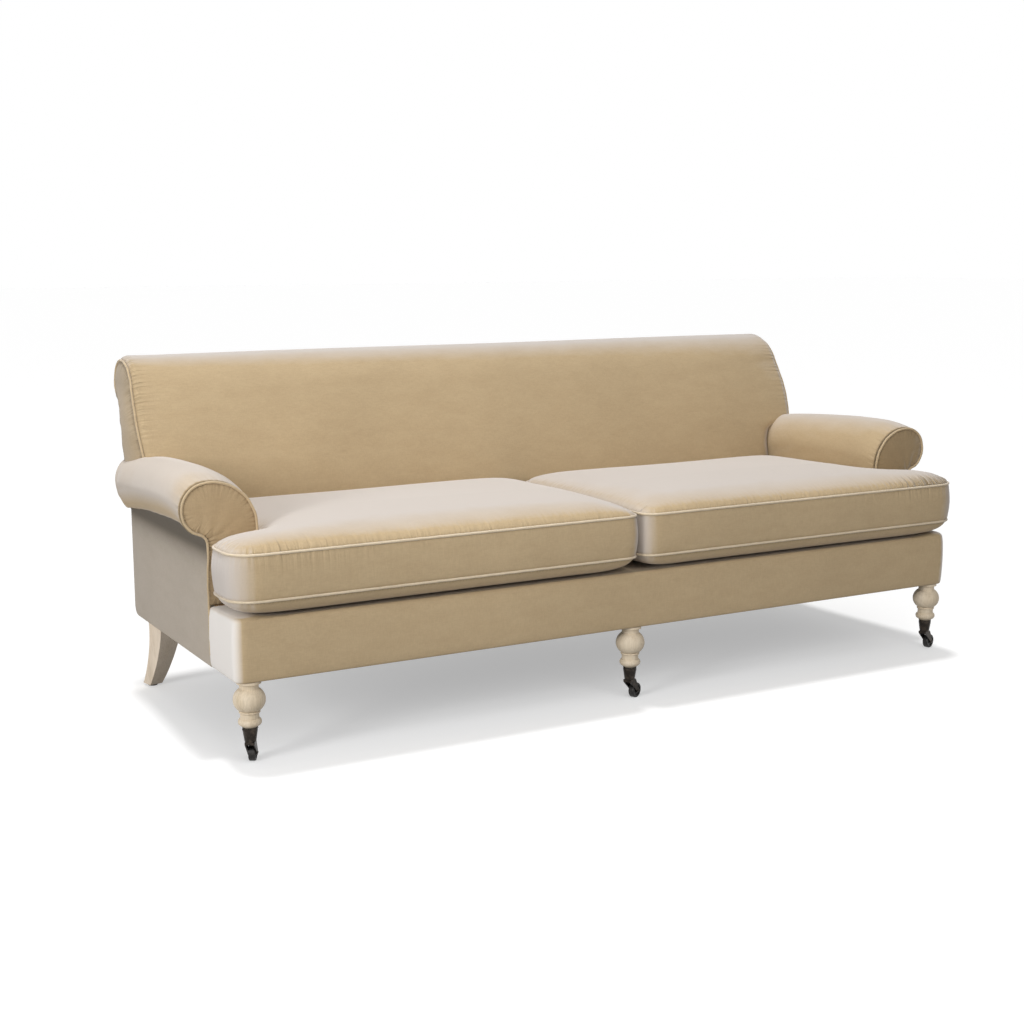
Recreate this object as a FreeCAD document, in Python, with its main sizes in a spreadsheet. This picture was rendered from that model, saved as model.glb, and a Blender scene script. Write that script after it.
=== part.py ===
import FreeCAD, Part
import math
import os

import Sketcher

# Tight back sofa on a hardwood frame. Millimetres; +X is the sofa's right as seen from the front, +Y its
# back and +Z up. The origin is on the floor, under the middle of the whole sofa.

V = FreeCAD.Vector
UP = V(0, 0, 1)
doc = FreeCAD.newDocument("Sofa")
kept = []

SIZES = {
    # Body
    "body_width": 2136,
    "body_depth": 787,
    "leg_height": 196,
    "cover_thickness": 12,
    "side_cover_thickness": 14,
    "fit_gap": 0.3,
    "overrun": 60,
    # Frame
    "rail_height": 122,
    "rail_thickness": 32,
    "front_rail_thickness": 36,
    "block_length": 90,
    "block_width": 70,
    "block_height": 60,
    "post_width": 40,
    "centre_post_width": 60,
    "top_rail_height": 70,
    "lower_rail_height": 70,
    "tuck_gap": 20,
    "arm_rail_thickness": 25,
    "bolt_diameter": 8,
    "bolt_length": 60,
    "hole_clearance": 0.2,
    # Seat
    "deck_thickness": 25,
    "border_rounding": 12,
    "dust_cover_thickness": 2,
    "dust_cover_margin": 10,
    "leg_opening_gap": 2,
    # Arms
    "arm_width": 123,
    "arm_setback": 171,
    "arm_wall": 30,
    "arm_height": 289,
    "arm_shoulder": 104,
    "neck_height": 127,
    "neck_lip": 12,
    "roll_radius": 66,
    "roll_overhang": 63,
    "rear_roll_radius": 80,
    "rear_roll_overhang": 34,
    "arm_swell": 15,
    "arm_tail_drop": 22,
    "facing_thickness": 6,
    "facing_inset": 6,
    "facing_welt_radius": 4,
    "panel_rounding": 25,
    # Back
    "back_padding": 110,
    "seat_line_height": 149,
    "back_height": 529,
    "knee_height": 114,
    "rake_rise": 235,
    "rake_run": 64,
    "scroll_radius": 63,
    "scroll_setback": 91.5,
    "scroll_base_height": 347,
    "back_facing_thickness": 3,
    "back_waist_height": 340,
    "back_waist_setback": 11,
    "back_shoulder_height": 447,
    "back_shoulder_setback": 20,
    "waist_crown": 48,
    "shoulder_crown": 38,
    "seat_line_crown": 36,
    # Springs
    "spring_wire": 4,
    "spring_pitch": 40,
    "spring_width": 104,
    "seat_spring_spacing": 220,
    "back_spring_spacing": 330,
    # Cushions
    "cushion_overhang": 32,
    "cushion_side_overhang": 17,
    "cushion_clearance": 2,
    "cushion_joint": 1,
    "welt_radius": 4.5,
    "under_height": 42,
    "band_height": 105,
    "crown_height": 48,
    "front_corner_radius": 58,
    "joint_corner_radius": 42,
    "rear_corner_radius": 40,
    "ear_corner_radius": 58,
    "notch_radius": 16,
    "side_reach": 230,
    "front_reach": 70,
    "ear_reach": 50,
    "ear_end_reach": 118,
    "under_reach": 60,
    "band_draw": 4,
    # Front legs
    "leg_inset": 38,
    "collar_diameter": 56,
    "collar_height": 6,
    "throat_diameter": 44,
    "ball_diameter": 74,
    "ball_top": 178,
    "ball_bottom": 126,
    "bead_diameter": 49,
    "bead_bottom": 120,
    "neck_diameter": 43,
    "neck_bottom": 109,
    "ring_diameter": 54,
    "ring_bottom": 92,
    "tip_top_diameter": 31,
    "tip_height": 57.3,
    # Rear legs
    "rear_leg_side_inset": 53,
    "rear_leg_inset": 91,
    "rear_leg_top": 64,
    "rear_foot": 36,
    "sabre_sweep": 79,
    "turn_out": 12.7,
    "glide_diameter": 24,
    "glide_height": 5,
    # Casters
    "cup_top": 88,
    "cup_band": 8,
    "cup_bottom": 54,
    "cup_wall": 1.5,
    "cup_floor": 3,
    "cup_top_diameter": 34.4,
    "cup_bottom_diameter": 26.4,
    "wheel_diameter": 39,
    "wheel_width": 16,
    "wheel_rounding": 3,
    "hub_diameter": 15,
    "web_recess": 2.5,
    "rim_depth": 6,
    "caster_trail": 25,
    "plate_diameter": 25,
    "plate_thickness": 6,
    "cheek_thickness": 2.6,
    "cheek_gap": 0.8,
    "boss_radius": 6,
    "stem_diameter": 8,
    "stem_length": 24,
    "axle_diameter": 5,
    "axle_head": 1.2,
    "running_clearance": 0.08,
    "left_caster_angle": 60,
    "centre_caster_angle": 24,
    "right_caster_angle": 17,
    "screw_diameter": 2.6,
    "screw_length": 8,
    "screw_head_diameter": 5,
    "screw_head_height": 1.2,
}


def fill_sheet():
    table = doc.addObject("Spreadsheet::Sheet", "Sizes")
    for row, (name, number) in enumerate(SIZES.items(), start=1):
        table.set(f"A{row}", name)
        table.set(f"B{row}", str(number))
        table.setAlias(f"B{row}", name)
    doc.recompute()
    return table


sheet = fill_sheet()


def value(expression):
    """What an expression comes to with the sizes in the sheet."""
    return float(sheet.evalExpression(str(expression)))


# Places that several pieces share, as expressions on the sheet. The seat frame is a second set of axes: its
# depths run back from the front face of the border, and its heights up from the deck.

WOOD_HALF = "(Sizes.body_width / 2 - Sizes.side_cover_thickness)"
BACK_HALF = f"({WOOD_HALF} - Sizes.back_facing_thickness)"
SEAT_HALF = "(Sizes.body_width / 2 - Sizes.arm_width)"
RAIL_TOP = "(Sizes.leg_height + Sizes.rail_height)"
DECK_TOP = f"({RAIL_TOP} + Sizes.deck_thickness)"
SCROLL_REACH = "(Sizes.scroll_setback + Sizes.scroll_radius + Sizes.facing_welt_radius)"
FRONT_FACE = f"((Sizes.cushion_overhang - Sizes.body_depth - {SCROLL_REACH}) / 2)"
BACK_FACE = f"({FRONT_FACE} + Sizes.body_depth)"
SLOPE = "(Sizes.rake_run / Sizes.rake_rise)"
FRAME_REAR = "(Sizes.body_depth - Sizes.cover_thickness)"
FRAME_FRONT = f"({FRAME_REAR} - Sizes.rail_thickness)"
SEAT_DEPTH = f"({FRAME_FRONT} - Sizes.back_padding)"
BEHIND_FACING = "(Sizes.arm_setback + Sizes.facing_thickness)"
FRONT_LEG_Y = f"({FRONT_FACE} + Sizes.cover_thickness + Sizes.front_rail_thickness / 2)"
REAR_LEG_Y = f"({BACK_FACE} - Sizes.rear_leg_inset)"
POST_TOP = "(Sizes.back_height - Sizes.scroll_radius)"
TOP_RAIL_BOTTOM = f"({POST_TOP} - Sizes.top_rail_height)"
LOWER_RAIL_TOP = "(Sizes.tuck_gap + Sizes.lower_rail_height)"


def raked(face, height):
    """The depth of a face of the back frame at a height above the knee."""
    return f"({face} + {SLOPE} * ({height} - Sizes.knee_height))"


def keep(item, label):
    item.Label = label
    kept.append(item)
    return item


def bind(item, settings):
    for name, expression in settings.items():
        item.setExpression(name, str(expression))


def place(item, x, y, z, angle=None):
    bind(item, {"Placement.Base.x": x, "Placement.Base.y": y, "Placement.Base.z": z})
    if angle is not None:
        item.Placement.Rotation = FreeCAD.Rotation(UP, value(angle))
        item.setExpression("Placement.Rotation.Angle", str(angle))


def box(name, length, width, height, x, y, z):
    item = doc.addObject("Part::Box", name)
    bind(item, {"Length": length, "Width": width, "Height": height})
    place(item, x, y, z)
    return item


def cylinder(name, diameter, height, x, y, z):
    item = doc.addObject("Part::Cylinder", name)
    bind(item, {"Radius": f"{diameter} / 2", "Height": height})
    place(item, x, y, z)
    return item


def cut(name, base, tool):
    item = doc.addObject("Part::Cut", name)
    item.Base = base
    item.Tool = tool
    return item


def group(name, members):
    item = doc.addObject("Part::Compound", name)
    item.Links = members
    return item


# Sketches and PartDesign features

def plane_of(body, role):
    return next(item for item in body.Origin.OriginFeatures if item.Role == role)


def arc_radius(start, end, bulge):
    """The radius of an arc that stands out from its chord by the bulge."""
    (x0, y0), (x1, y1) = start, end
    return f"((({x1}) - ({x0}))^2 + (({y1}) - ({y0}))^2) / (8 * abs({bulge})) + abs({bulge}) / 2"


def draw_arc(start, end, bulge, radius):
    """The arc between two points, and whether it runs anticlockwise from the first to the second."""
    along = (end - start).normalize()
    right = V(along.y, -along.x, 0)
    side = math.copysign(1, bulge)
    centre = (start + end) / 2 + right * (bulge - side * radius)
    first, last = (start, end) if side > 0 else (end, start)
    angles = [math.atan2(point.y - centre.y, point.x - centre.x) for point in (first, last)]
    return Part.ArcOfCircle(Part.Circle(centre, UP, radius), *angles), side > 0


def sketch_on(body, name, role, corners, lift=None):
    """Draw a closed outline on a plane of the body. Each corner is its two coordinates and, where an arc
    leads to it, how far the arc stands out to the right of its chord, all as expressions."""
    sketch = body.newObject("Sketcher::SketchObject", name)
    sketch.AttachmentSupport = [(plane_of(body, role), "")]
    sketch.MapMode = "FlatFace"
    if lift is not None:
        sketch.setExpression("AttachmentOffset.Base.z", lift)
    points = [V(value(corner[0]), value(corner[1]), 0) for corner in corners]
    ends = []
    for index, corner in enumerate(corners):
        start, end = points[index - 1], points[index]
        if len(corner) == 2:
            sketch.addGeometry(Part.LineSegment(start, end), False)
            ends.append((1, 2))
            continue
        radius = arc_radius(corners[index - 1][:2], corner[:2], corner[2])
        curve, forward = draw_arc(start, end, value(corner[2]), value(radius))
        sketch.addGeometry(curve, False)
        ends.append((1, 2) if forward else (2, 1))
        number = sketch.addConstraint(Sketcher.Constraint("Radius", index, value(radius)))
        sketch.setExpression(f"Constraints[{number}]", radius)
    for index, corner in enumerate(corners):
        following = (index + 1) % len(corners)
        end = ends[index][1]
        sketch.addConstraint(Sketcher.Constraint("Coincident", index, end, following, ends[following][0]))
        for kind, expression, number in (("DistanceX", corner[0], points[index].x),
                                         ("DistanceY", corner[1], points[index].y)):
            added = sketch.addConstraint(Sketcher.Constraint(kind, -1, 1, index, end, number))
            sketch.setExpression(f"Constraints[{added}]", str(expression))
    return sketch


def circle_on(body, name, role, x, y, diameter, lift=None):
    sketch = body.newObject("Sketcher::SketchObject", name)
    sketch.AttachmentSupport = [(plane_of(body, role), "")]
    sketch.MapMode = "FlatFace"
    if lift is not None:
        sketch.setExpression("AttachmentOffset.Base.z", lift)
    centre = V(value(x), value(y), 0)
    sketch.addGeometry(Part.Circle(centre, UP, value(diameter) / 2), False)
    for kind, expression, number in (("DistanceX", x, centre.x), ("DistanceY", y, centre.y)):
        added = sketch.addConstraint(Sketcher.Constraint(kind, -1, 1, 0, 3, number))
        sketch.setExpression(f"Constraints[{added}]", str(expression))
    added = sketch.addConstraint(Sketcher.Constraint("Diameter", 0, value(diameter)))
    sketch.setExpression(f"Constraints[{added}]", str(diameter))
    return sketch


def new_body(name):
    return doc.addObject("PartDesign::Body", name)


def pad(body, sketch, length, both_ways=False):
    feature = body.newObject("PartDesign::Pad", f"{sketch.Name}_pad")
    feature.Profile = sketch
    feature.SideType = "Symmetric" if both_ways else "One side"
    feature.setExpression("Length", str(length))
    return feature


def pocket(body, sketch, length, both_ways=False, reverse=False):
    doc.recompute()
    before = body.Shape.Volume
    feature = body.newObject("PartDesign::Pocket", f"{sketch.Name}_pocket")
    feature.Profile = sketch
    feature.SideType = "Symmetric" if both_ways else "One side"
    feature.Reversed = reverse
    feature.setExpression("Length", str(length))
    doc.recompute()
    if not body.Shape.Volume < before:
        raise RuntimeError(f"{feature.Name} cuts nothing")
    return feature


def revolve(body, sketch):
    feature = body.newObject("PartDesign::Revolution", f"{sketch.Name}_turn")
    feature.Profile = sketch
    feature.ReferenceAxis = (sketch, ["V_Axis"])
    feature.Angle = 360
    return feature


# Frame

def bolt_places():
    """Where each leg's bolt stands, front legs first."""
    places = {}
    for name, side in (("left", -1), ("centre", 0), ("right", 1)):
        places[f"{name}_front"] = (f"{side} * (Sizes.body_width / 2 - Sizes.leg_inset)", FRONT_LEG_Y)
        places[f"{name}_rear"] = (f"{side} * (Sizes.body_width / 2 - Sizes.rear_leg_side_inset)", REAR_LEG_Y)
    return places


BOLTS = bolt_places()


def bolt_hole(owner, leg):
    return cylinder(f"{owner}_{leg}_hole", "(Sizes.bolt_diameter + 2 * Sizes.hole_clearance)",
                    "Sizes.bolt_length", *BOLTS[leg], "Sizes.leg_height - Sizes.bolt_length / 2")


def make_rails():
    front = box("front_rail_blank", f"2 * {WOOD_HALF}", "Sizes.front_rail_thickness", "Sizes.rail_height",
                f"-{WOOD_HALF}", f"{FRONT_FACE} + Sizes.cover_thickness", "Sizes.leg_height")
    holes = group("front_rail_holes", [bolt_hole("rail", f"{name}_front") for name in ("left", "centre", "right")])
    keep(cut("front_rail_bored", front, holes), "front_rail")
    keep(box("rear_rail", f"2 * {WOOD_HALF}", "Sizes.rail_thickness", "Sizes.rail_height",
             f"-{WOOD_HALF}", f"{FRONT_FACE} + {FRAME_FRONT}", "Sizes.leg_height"), "rear_rail")
    start = "(Sizes.cover_thickness + Sizes.front_rail_thickness)"
    run = f"({FRAME_FRONT} - {start})"
    for name, x in (("left", f"-{WOOD_HALF}"), ("right", f"{WOOD_HALF} - Sizes.rail_thickness")):
        keep(box(f"{name}_side_rail", "Sizes.rail_thickness", run, "Sizes.rail_height",
                 x, f"{FRONT_FACE} + {start}", "Sizes.leg_height"), f"{name}_side_rail")
    cross = box("cross_rail_blank", "Sizes.rail_thickness", run, "Sizes.rail_height",
                "-Sizes.rail_thickness / 2", f"{FRONT_FACE} + {start}", "Sizes.leg_height")
    keep(cut("cross_rail_bored", cross, bolt_hole("cross_rail", "centre_rear")), "centre_cross_rail")


def make_corner_blocks():
    blocks = []
    inner = f"({WOOD_HALF} - Sizes.rail_thickness)"
    rows = (("front", f"{FRONT_FACE} + Sizes.cover_thickness + Sizes.front_rail_thickness"),
            ("rear", f"{FRONT_FACE} + {FRAME_FRONT} - Sizes.block_length"))
    for row, y in rows:
        for name, x in (("left", f"-{inner}"), ("right", f"{inner} - Sizes.block_width")):
            block = box(f"{name}_{row}_block", "Sizes.block_width", "Sizes.block_length", "Sizes.block_height",
                        x, y, "Sizes.leg_height")
            if row == "rear":
                block = cut(f"{name}_{row}_block_bored", block, bolt_hole("block", f"{name}_rear"))
            blocks.append(block)
    keep(group("corner_block_group", blocks), "corner_blocks")


def make_arm_frame():
    width = "(Sizes.arm_width - Sizes.side_cover_thickness - Sizes.arm_wall)"
    rail_bottom = f"({DECK_TOP} + Sizes.neck_height - Sizes.arm_rail_thickness)"
    for name, x in (("left", f"-{WOOD_HALF}"), ("right", f"{WOOD_HALF} - {width}")):
        keep(box(f"{name}_arm_front_post", width, "Sizes.front_rail_thickness", f"{rail_bottom} - {RAIL_TOP}",
                 x, f"{FRONT_FACE} + {BEHIND_FACING}", RAIL_TOP), f"{name}_arm_front_post")
        keep(box(f"{name}_arm_top_rail", width, f"{FRAME_FRONT} - {BEHIND_FACING}", "Sizes.arm_rail_thickness",
                 x, f"{FRONT_FACE} + {BEHIND_FACING}", rail_bottom), f"{name}_arm_top_rail")


def post_outline(bottom, top):
    return [(FRAME_FRONT, bottom), (FRAME_REAR, bottom), (FRAME_REAR, "Sizes.knee_height"),
            (raked(FRAME_REAR, top), top), (raked(FRAME_FRONT, top), top), (FRAME_FRONT, "Sizes.knee_height")]


def make_back_frame():
    """Dog-legged posts, upright to the knee and raked above it, with a rail low down and one in the scroll."""
    span = f"({BACK_HALF} - Sizes.post_width)"
    for name, x in (("left", f"-{BACK_HALF}"), ("right", span)):
        post = new_body(f"{name}_back_post")
        pad(post, sketch_on(post, f"{name}_post_outline", "YZ_Plane",
                            post_outline("-Sizes.deck_thickness", POST_TOP)), "Sizes.post_width")
        place(post, x, FRONT_FACE, DECK_TOP)
        keep(post, f"{name}_back_post")
    keep(box("back_lower_rail", f"2 * {span}", "Sizes.rail_thickness", "Sizes.lower_rail_height",
             f"-{span}", f"{FRONT_FACE} + {FRAME_FRONT}", f"{DECK_TOP} + Sizes.tuck_gap"), "back_lower_rail")
    keep(box("back_top_rail", f"2 * {span}", "Sizes.rail_thickness", "Sizes.top_rail_height", f"-{span}",
             f"{FRONT_FACE} + {raked(FRAME_FRONT, TOP_RAIL_BOTTOM)}", f"{DECK_TOP} + {TOP_RAIL_BOTTOM}"),
         "back_top_rail")
    centre = new_body("back_centre_post")
    pad(centre, sketch_on(centre, "centre_post_outline", "YZ_Plane", post_outline(LOWER_RAIL_TOP, TOP_RAIL_BOTTOM)),
        "Sizes.centre_post_width")
    place(centre, "-Sizes.centre_post_width / 2", FRONT_FACE, DECK_TOP)
    keep(centre, "back_centre_post")


def make_bolts():
    bolts = [cylinder(f"{leg}_bolt", "Sizes.bolt_diameter", "Sizes.bolt_length - 2 * Sizes.fit_gap", x, y,
                      "Sizes.leg_height - Sizes.bolt_length / 2 + Sizes.fit_gap") for leg, (x, y) in BOLTS.items()]
    keep(group("leg_bolt_group", bolts), "leg_bolts")


# Plain covers

def make_front_border():
    """A padded shell over the front rail, open below and behind."""
    border = new_body("front_border")
    inner = "Sizes.cover_thickness"
    low = "-(Sizes.rail_height + Sizes.deck_thickness)"
    curve = "(Sizes.border_rounding * (1 - sqrt(0.5)))"
    wall = [(0, f"{low} + Sizes.cover_thickness / 2"), (f"{inner} / 2", low), (inner, low),
            (inner, "-Sizes.deck_thickness"), (BEHIND_FACING, "-Sizes.deck_thickness"), (BEHIND_FACING, 0),
            ("Sizes.border_rounding", 0), (0, "-Sizes.border_rounding", curve)]
    pad(border, sketch_on(border, "border_section", "YZ_Plane", wall), f"2 * {WOOD_HALF}", both_ways=True)
    end = [(0, f"{low} + Sizes.cover_thickness / 2"), (f"{inner} / 2", low), (BEHIND_FACING, low),
           (BEHIND_FACING, 0), ("Sizes.border_rounding", 0), (0, "-Sizes.border_rounding", curve)]
    right = sketch_on(border, "border_right_end", "YZ_Plane", end, lift=WOOD_HALF)
    pad(border, right, "Sizes.side_cover_thickness")
    left = sketch_on(border, "border_left_end", "YZ_Plane", end, lift="-Sizes.body_width / 2")
    pad(border, left, "Sizes.side_cover_thickness")
    place(border, 0, FRONT_FACE, DECK_TOP)
    keep(border, "front_border")


def make_outside_arms():
    low = "-(Sizes.rail_height + Sizes.deck_thickness)"
    curve = "(Sizes.panel_rounding * (1 - sqrt(0.5)))"
    outline = [(BEHIND_FACING, low), ("Sizes.body_depth - Sizes.panel_rounding", low),
               ("Sizes.body_depth", f"{low} + Sizes.panel_rounding", curve),
               ("Sizes.body_depth", "Sizes.neck_height"), (BEHIND_FACING, "Sizes.neck_height")]
    for name, x in (("left", "-Sizes.body_width / 2"), ("right", WOOD_HALF)):
        panel = new_body(f"{name}_outside_arm")
        pad(panel, sketch_on(panel, f"{name}_panel_outline", "YZ_Plane", outline), "Sizes.side_cover_thickness")
        place(panel, x, FRONT_FACE, DECK_TOP)
        keep(panel, f"{name}_outside_arm")


def make_outside_back():
    panel = new_body("outside_back")
    low = "-(Sizes.rail_height + Sizes.deck_thickness)"
    top = "Sizes.scroll_base_height"
    outline = [(FRAME_REAR, low), ("Sizes.body_depth", low), ("Sizes.body_depth", "Sizes.knee_height"),
               (raked("Sizes.body_depth", top), top), (raked(FRAME_REAR, top), top),
               (FRAME_REAR, "Sizes.knee_height")]
    pad(panel, sketch_on(panel, "outside_back_outline", "YZ_Plane", outline), f"2 * {WOOD_HALF}", both_ways=True)
    place(panel, 0, FRONT_FACE, DECK_TOP)
    keep(panel, "outside_back")


def make_seat_deck():
    keep(box("seat_deck", f"2 * {SEAT_HALF}", f"{FRAME_FRONT} - {BEHIND_FACING}", "Sizes.deck_thickness",
             f"-{SEAT_HALF}", f"{FRONT_FACE} + {BEHIND_FACING}", RAIL_TOP), "seat_deck")


def make_dust_cover():
    margin = "Sizes.dust_cover_margin"
    low = "Sizes.leg_height - Sizes.dust_cover_thickness"
    sheet_box = box("dust_cover_blank", f"2 * ({WOOD_HALF} - {margin})",
                    f"{FRAME_REAR} - Sizes.cover_thickness - 2 * {margin}", "Sizes.dust_cover_thickness",
                    f"{margin} - {WOOD_HALF}", f"{FRONT_FACE} + Sizes.cover_thickness + {margin}", low)
    openings = []
    for leg, (x, y) in BOLTS.items():
        across = "Sizes.rear_leg_top * sqrt(2)" if leg.endswith("rear") else "Sizes.collar_diameter"
        openings.append(cylinder(f"{leg}_opening", f"({across} + 2 * Sizes.leg_opening_gap)",
                                 "2 * Sizes.dust_cover_thickness", x, y, f"{low} - Sizes.dust_cover_thickness / 2"))
    keep(cut("dust_cover_cut", sheet_box, group("leg_openings", openings)), "dust_cover")


# Legs

BEAD_BULGE_SHARE = 1 / 12
COVE_BULGE_SHARE = 1 / 6


def make_front_leg(name):
    """A turned leg: collar, ball, bead, neck and ring over a tip that tapers into the caster cup."""
    leg = new_body(f"{name}_front_leg_body")
    bolt = "(Sizes.bolt_diameter / 2 + Sizes.hole_clearance)"
    stem = "(Sizes.stem_diameter / 2 + Sizes.running_clearance)"
    floor_gap = "(Sizes.tip_height - Sizes.cup_bottom - Sizes.cup_floor)"
    tip = "(Sizes.cup_bottom_diameter / 2 - Sizes.cup_wall - Sizes.fit_gap)"
    stem_top = f"(Sizes.cup_bottom + Sizes.stem_length + {floor_gap})"
    bead_middle = "(Sizes.ball_bottom + Sizes.bead_bottom) / 2"
    bead_bulge = f"{BEAD_BULGE_SHARE} * (Sizes.bead_diameter - Sizes.neck_diameter)"
    outline = [
        ("Sizes.collar_diameter / 2", "Sizes.leg_height"),
        (bolt, "Sizes.leg_height"),
        (bolt, "Sizes.leg_height - Sizes.bolt_length / 2"),
        (0, "Sizes.leg_height - Sizes.bolt_length / 2"),
        (0, stem_top),
        (stem, stem_top),
        (stem, "Sizes.tip_height"),
        (tip, "Sizes.tip_height"),
        ("Sizes.cup_top_diameter / 2 - Sizes.cup_wall - Sizes.fit_gap", "Sizes.cup_top - Sizes.cup_band"),
        ("Sizes.tip_top_diameter / 2 - Sizes.fit_gap", "Sizes.cup_top"),
        ("Sizes.neck_diameter / 2", "Sizes.ring_bottom"),
        ("Sizes.neck_diameter / 2", "Sizes.neck_bottom", "(Sizes.ring_diameter - Sizes.neck_diameter) / 2"),
        ("Sizes.neck_diameter / 2", "Sizes.bead_bottom"),
        ("Sizes.bead_diameter / 2", bead_middle, bead_bulge),
        ("Sizes.throat_diameter / 2", "Sizes.ball_bottom", bead_bulge),
        ("Sizes.throat_diameter / 2", "Sizes.ball_top", "(Sizes.ball_diameter - Sizes.throat_diameter) / 2"),
        ("Sizes.throat_diameter / 2", "(Sizes.ball_top + Sizes.leg_height - Sizes.collar_height) / 2"),
        ("Sizes.collar_diameter / 2", "Sizes.leg_height - Sizes.collar_height",
         f"-{COVE_BULGE_SHARE} * (Sizes.collar_diameter - Sizes.throat_diameter)"),
    ]
    revolve(leg, sketch_on(leg, f"{name}_leg_profile", "XZ_Plane", outline))
    place(leg, *BOLTS[f"{name}_front"], 0)
    bored = cut(f"{name}_front_leg_bored", leg, screw_hole(f"{name}_leg", name))
    keep(bored, f"{name}_front_leg")


SABRE_SHARES = ((0, 0), (0.25, 0.40), (0.5, 0.70), (0.75, 0.91), (1, 1))


def make_rear_leg(name, turn):
    """A sabre leg: a square section that tapers and sweeps back to the foot. Each share pair is the height
    up the leg and how much of the sweep is gone there."""
    leg = new_body(f"{name}_rear_leg_body")
    rise = "(Sizes.leg_height - Sizes.glide_height)"
    sections = []
    for number, (height_share, sweep_share) in enumerate(SABRE_SHARES):
        half = f"((Sizes.rear_foot + (Sizes.rear_leg_top - Sizes.rear_foot) * {height_share}) / 2)"
        middle = f"(Sizes.sabre_sweep * (1 - {sweep_share}))"
        corners = [(f"-{half}", f"{middle} - {half}"), (half, f"{middle} - {half}"),
                   (half, f"{middle} + {half}"), (f"-{half}", f"{middle} + {half}")]
        sections.append(sketch_on(leg, f"{name}_rear_section_{number}", "XY_Plane", corners,
                                  lift=f"Sizes.glide_height + {rise} * {height_share}"))
    loft = leg.newObject("PartDesign::AdditiveLoft", f"{name}_rear_loft")
    loft.Profile = sections[0]
    loft.Sections = sections[1:]
    hole = circle_on(leg, f"{name}_rear_bolt", "XY_Plane", 0, 0, "(Sizes.bolt_diameter + 2 * Sizes.hole_clearance)",
                     lift="Sizes.leg_height")
    pocket(leg, hole, "Sizes.bolt_length / 2")
    place(leg, *BOLTS[f"{name}_rear"], 0, angle=f"{turn} * Sizes.turn_out")
    keep(leg, f"{name}_rear_leg")


def make_glides():
    glides = []
    for name, side in (("left", -1), ("centre", 0), ("right", 1)):
        x, y = BOLTS[f"{name}_rear"]
        turn = f"({side} * Sizes.turn_out)"
        glides.append(cylinder(f"{name}_glide", "Sizes.glide_diameter", "Sizes.glide_height",
                               f"{x} + sin({turn}) * Sizes.sabre_sweep", f"{y} + cos({turn}) * Sizes.sabre_sweep", 0))
    keep(group("glide_group", glides), "rear_glides")


# Casters, each modelled with its swivel axis on Z and its wheel trailing along X

PLATE_TOP = "(Sizes.cup_bottom - Sizes.fit_gap)"
PLATE_BOTTOM = f"({PLATE_TOP} - Sizes.plate_thickness)"
SLOT = "(Sizes.wheel_width + 2 * Sizes.cheek_gap)"
FORK_WIDTH = f"({SLOT} + 2 * Sizes.cheek_thickness)"
SCREW_Z = "(Sizes.cup_top - Sizes.cup_band / 2)"
SCREW_SEAT = "(Sizes.cup_top_diameter / 2)"
BOSS_BULGE_SHARE = 0.99


def cross_cylinder(name, owner, diameter, length, start):
    """A cylinder along X through a front leg's axis at the height of the cup screws."""
    item = doc.addObject("Part::Cylinder", name)
    bind(item, {"Radius": f"{diameter} / 2", "Height": length})
    x, y = BOLTS[f"{owner}_front"]
    item.Placement.Rotation = FreeCAD.Rotation(V(0, 1, 0), 90)
    place(item, f"{x} + {start}", y, SCREW_Z)
    return item


def screw_hole(owner, caster):
    return cross_cylinder(f"{owner}_screw_hole", caster, "(Sizes.screw_diameter + 2 * Sizes.hole_clearance)",
                          "2 * Sizes.cup_top_diameter", "(-Sizes.cup_top_diameter)")


def make_cup(name):
    cup = new_body(f"{name}_cup_body")
    stem = "(Sizes.stem_diameter / 2 + Sizes.running_clearance)"
    bottom = "Sizes.cup_bottom_diameter / 2"
    top = "Sizes.cup_top_diameter / 2"
    band = "Sizes.cup_top - Sizes.cup_band"
    outline = [(stem, "Sizes.cup_bottom"), (bottom, "Sizes.cup_bottom"), (top, band), (top, "Sizes.cup_top"),
               (f"{top} - Sizes.cup_wall", "Sizes.cup_top"), (f"{top} - Sizes.cup_wall", band),
               (f"{bottom} - Sizes.cup_wall", "Sizes.cup_bottom + Sizes.cup_floor"),
               (stem, "Sizes.cup_bottom + Sizes.cup_floor")]
    revolve(cup, sketch_on(cup, f"{name}_cup_profile", "XZ_Plane", outline))
    place(cup, *BOLTS[f"{name}_front"], 0)
    keep(cut(f"{name}_cup_bored", cup, screw_hole(f"{name}_cup", name)), f"{name}_caster_cup")


def make_cup_screws():
    screws = []
    for name in ("left", "centre", "right"):
        for side, start in (("near", f"(-{SCREW_SEAT})"), ("far", f"({SCREW_SEAT} - Sizes.screw_length)")):
            shank = cross_cylinder(f"{name}_{side}_shank", name, "Sizes.screw_diameter", "Sizes.screw_length", start)
            head_start = f"(-{SCREW_SEAT} - Sizes.screw_head_height)" if side == "near" else SCREW_SEAT
            head = cross_cylinder(f"{name}_{side}_head", name, "Sizes.screw_head_diameter",
                                  "Sizes.screw_head_height", head_start)
            screw = doc.addObject("Part::Fuse", f"{name}_{side}_screw")
            screw.Base = shank
            screw.Tool = head
            screws.append(screw)
    keep(group("cup_screw_group", screws), "cup_screws")


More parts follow.
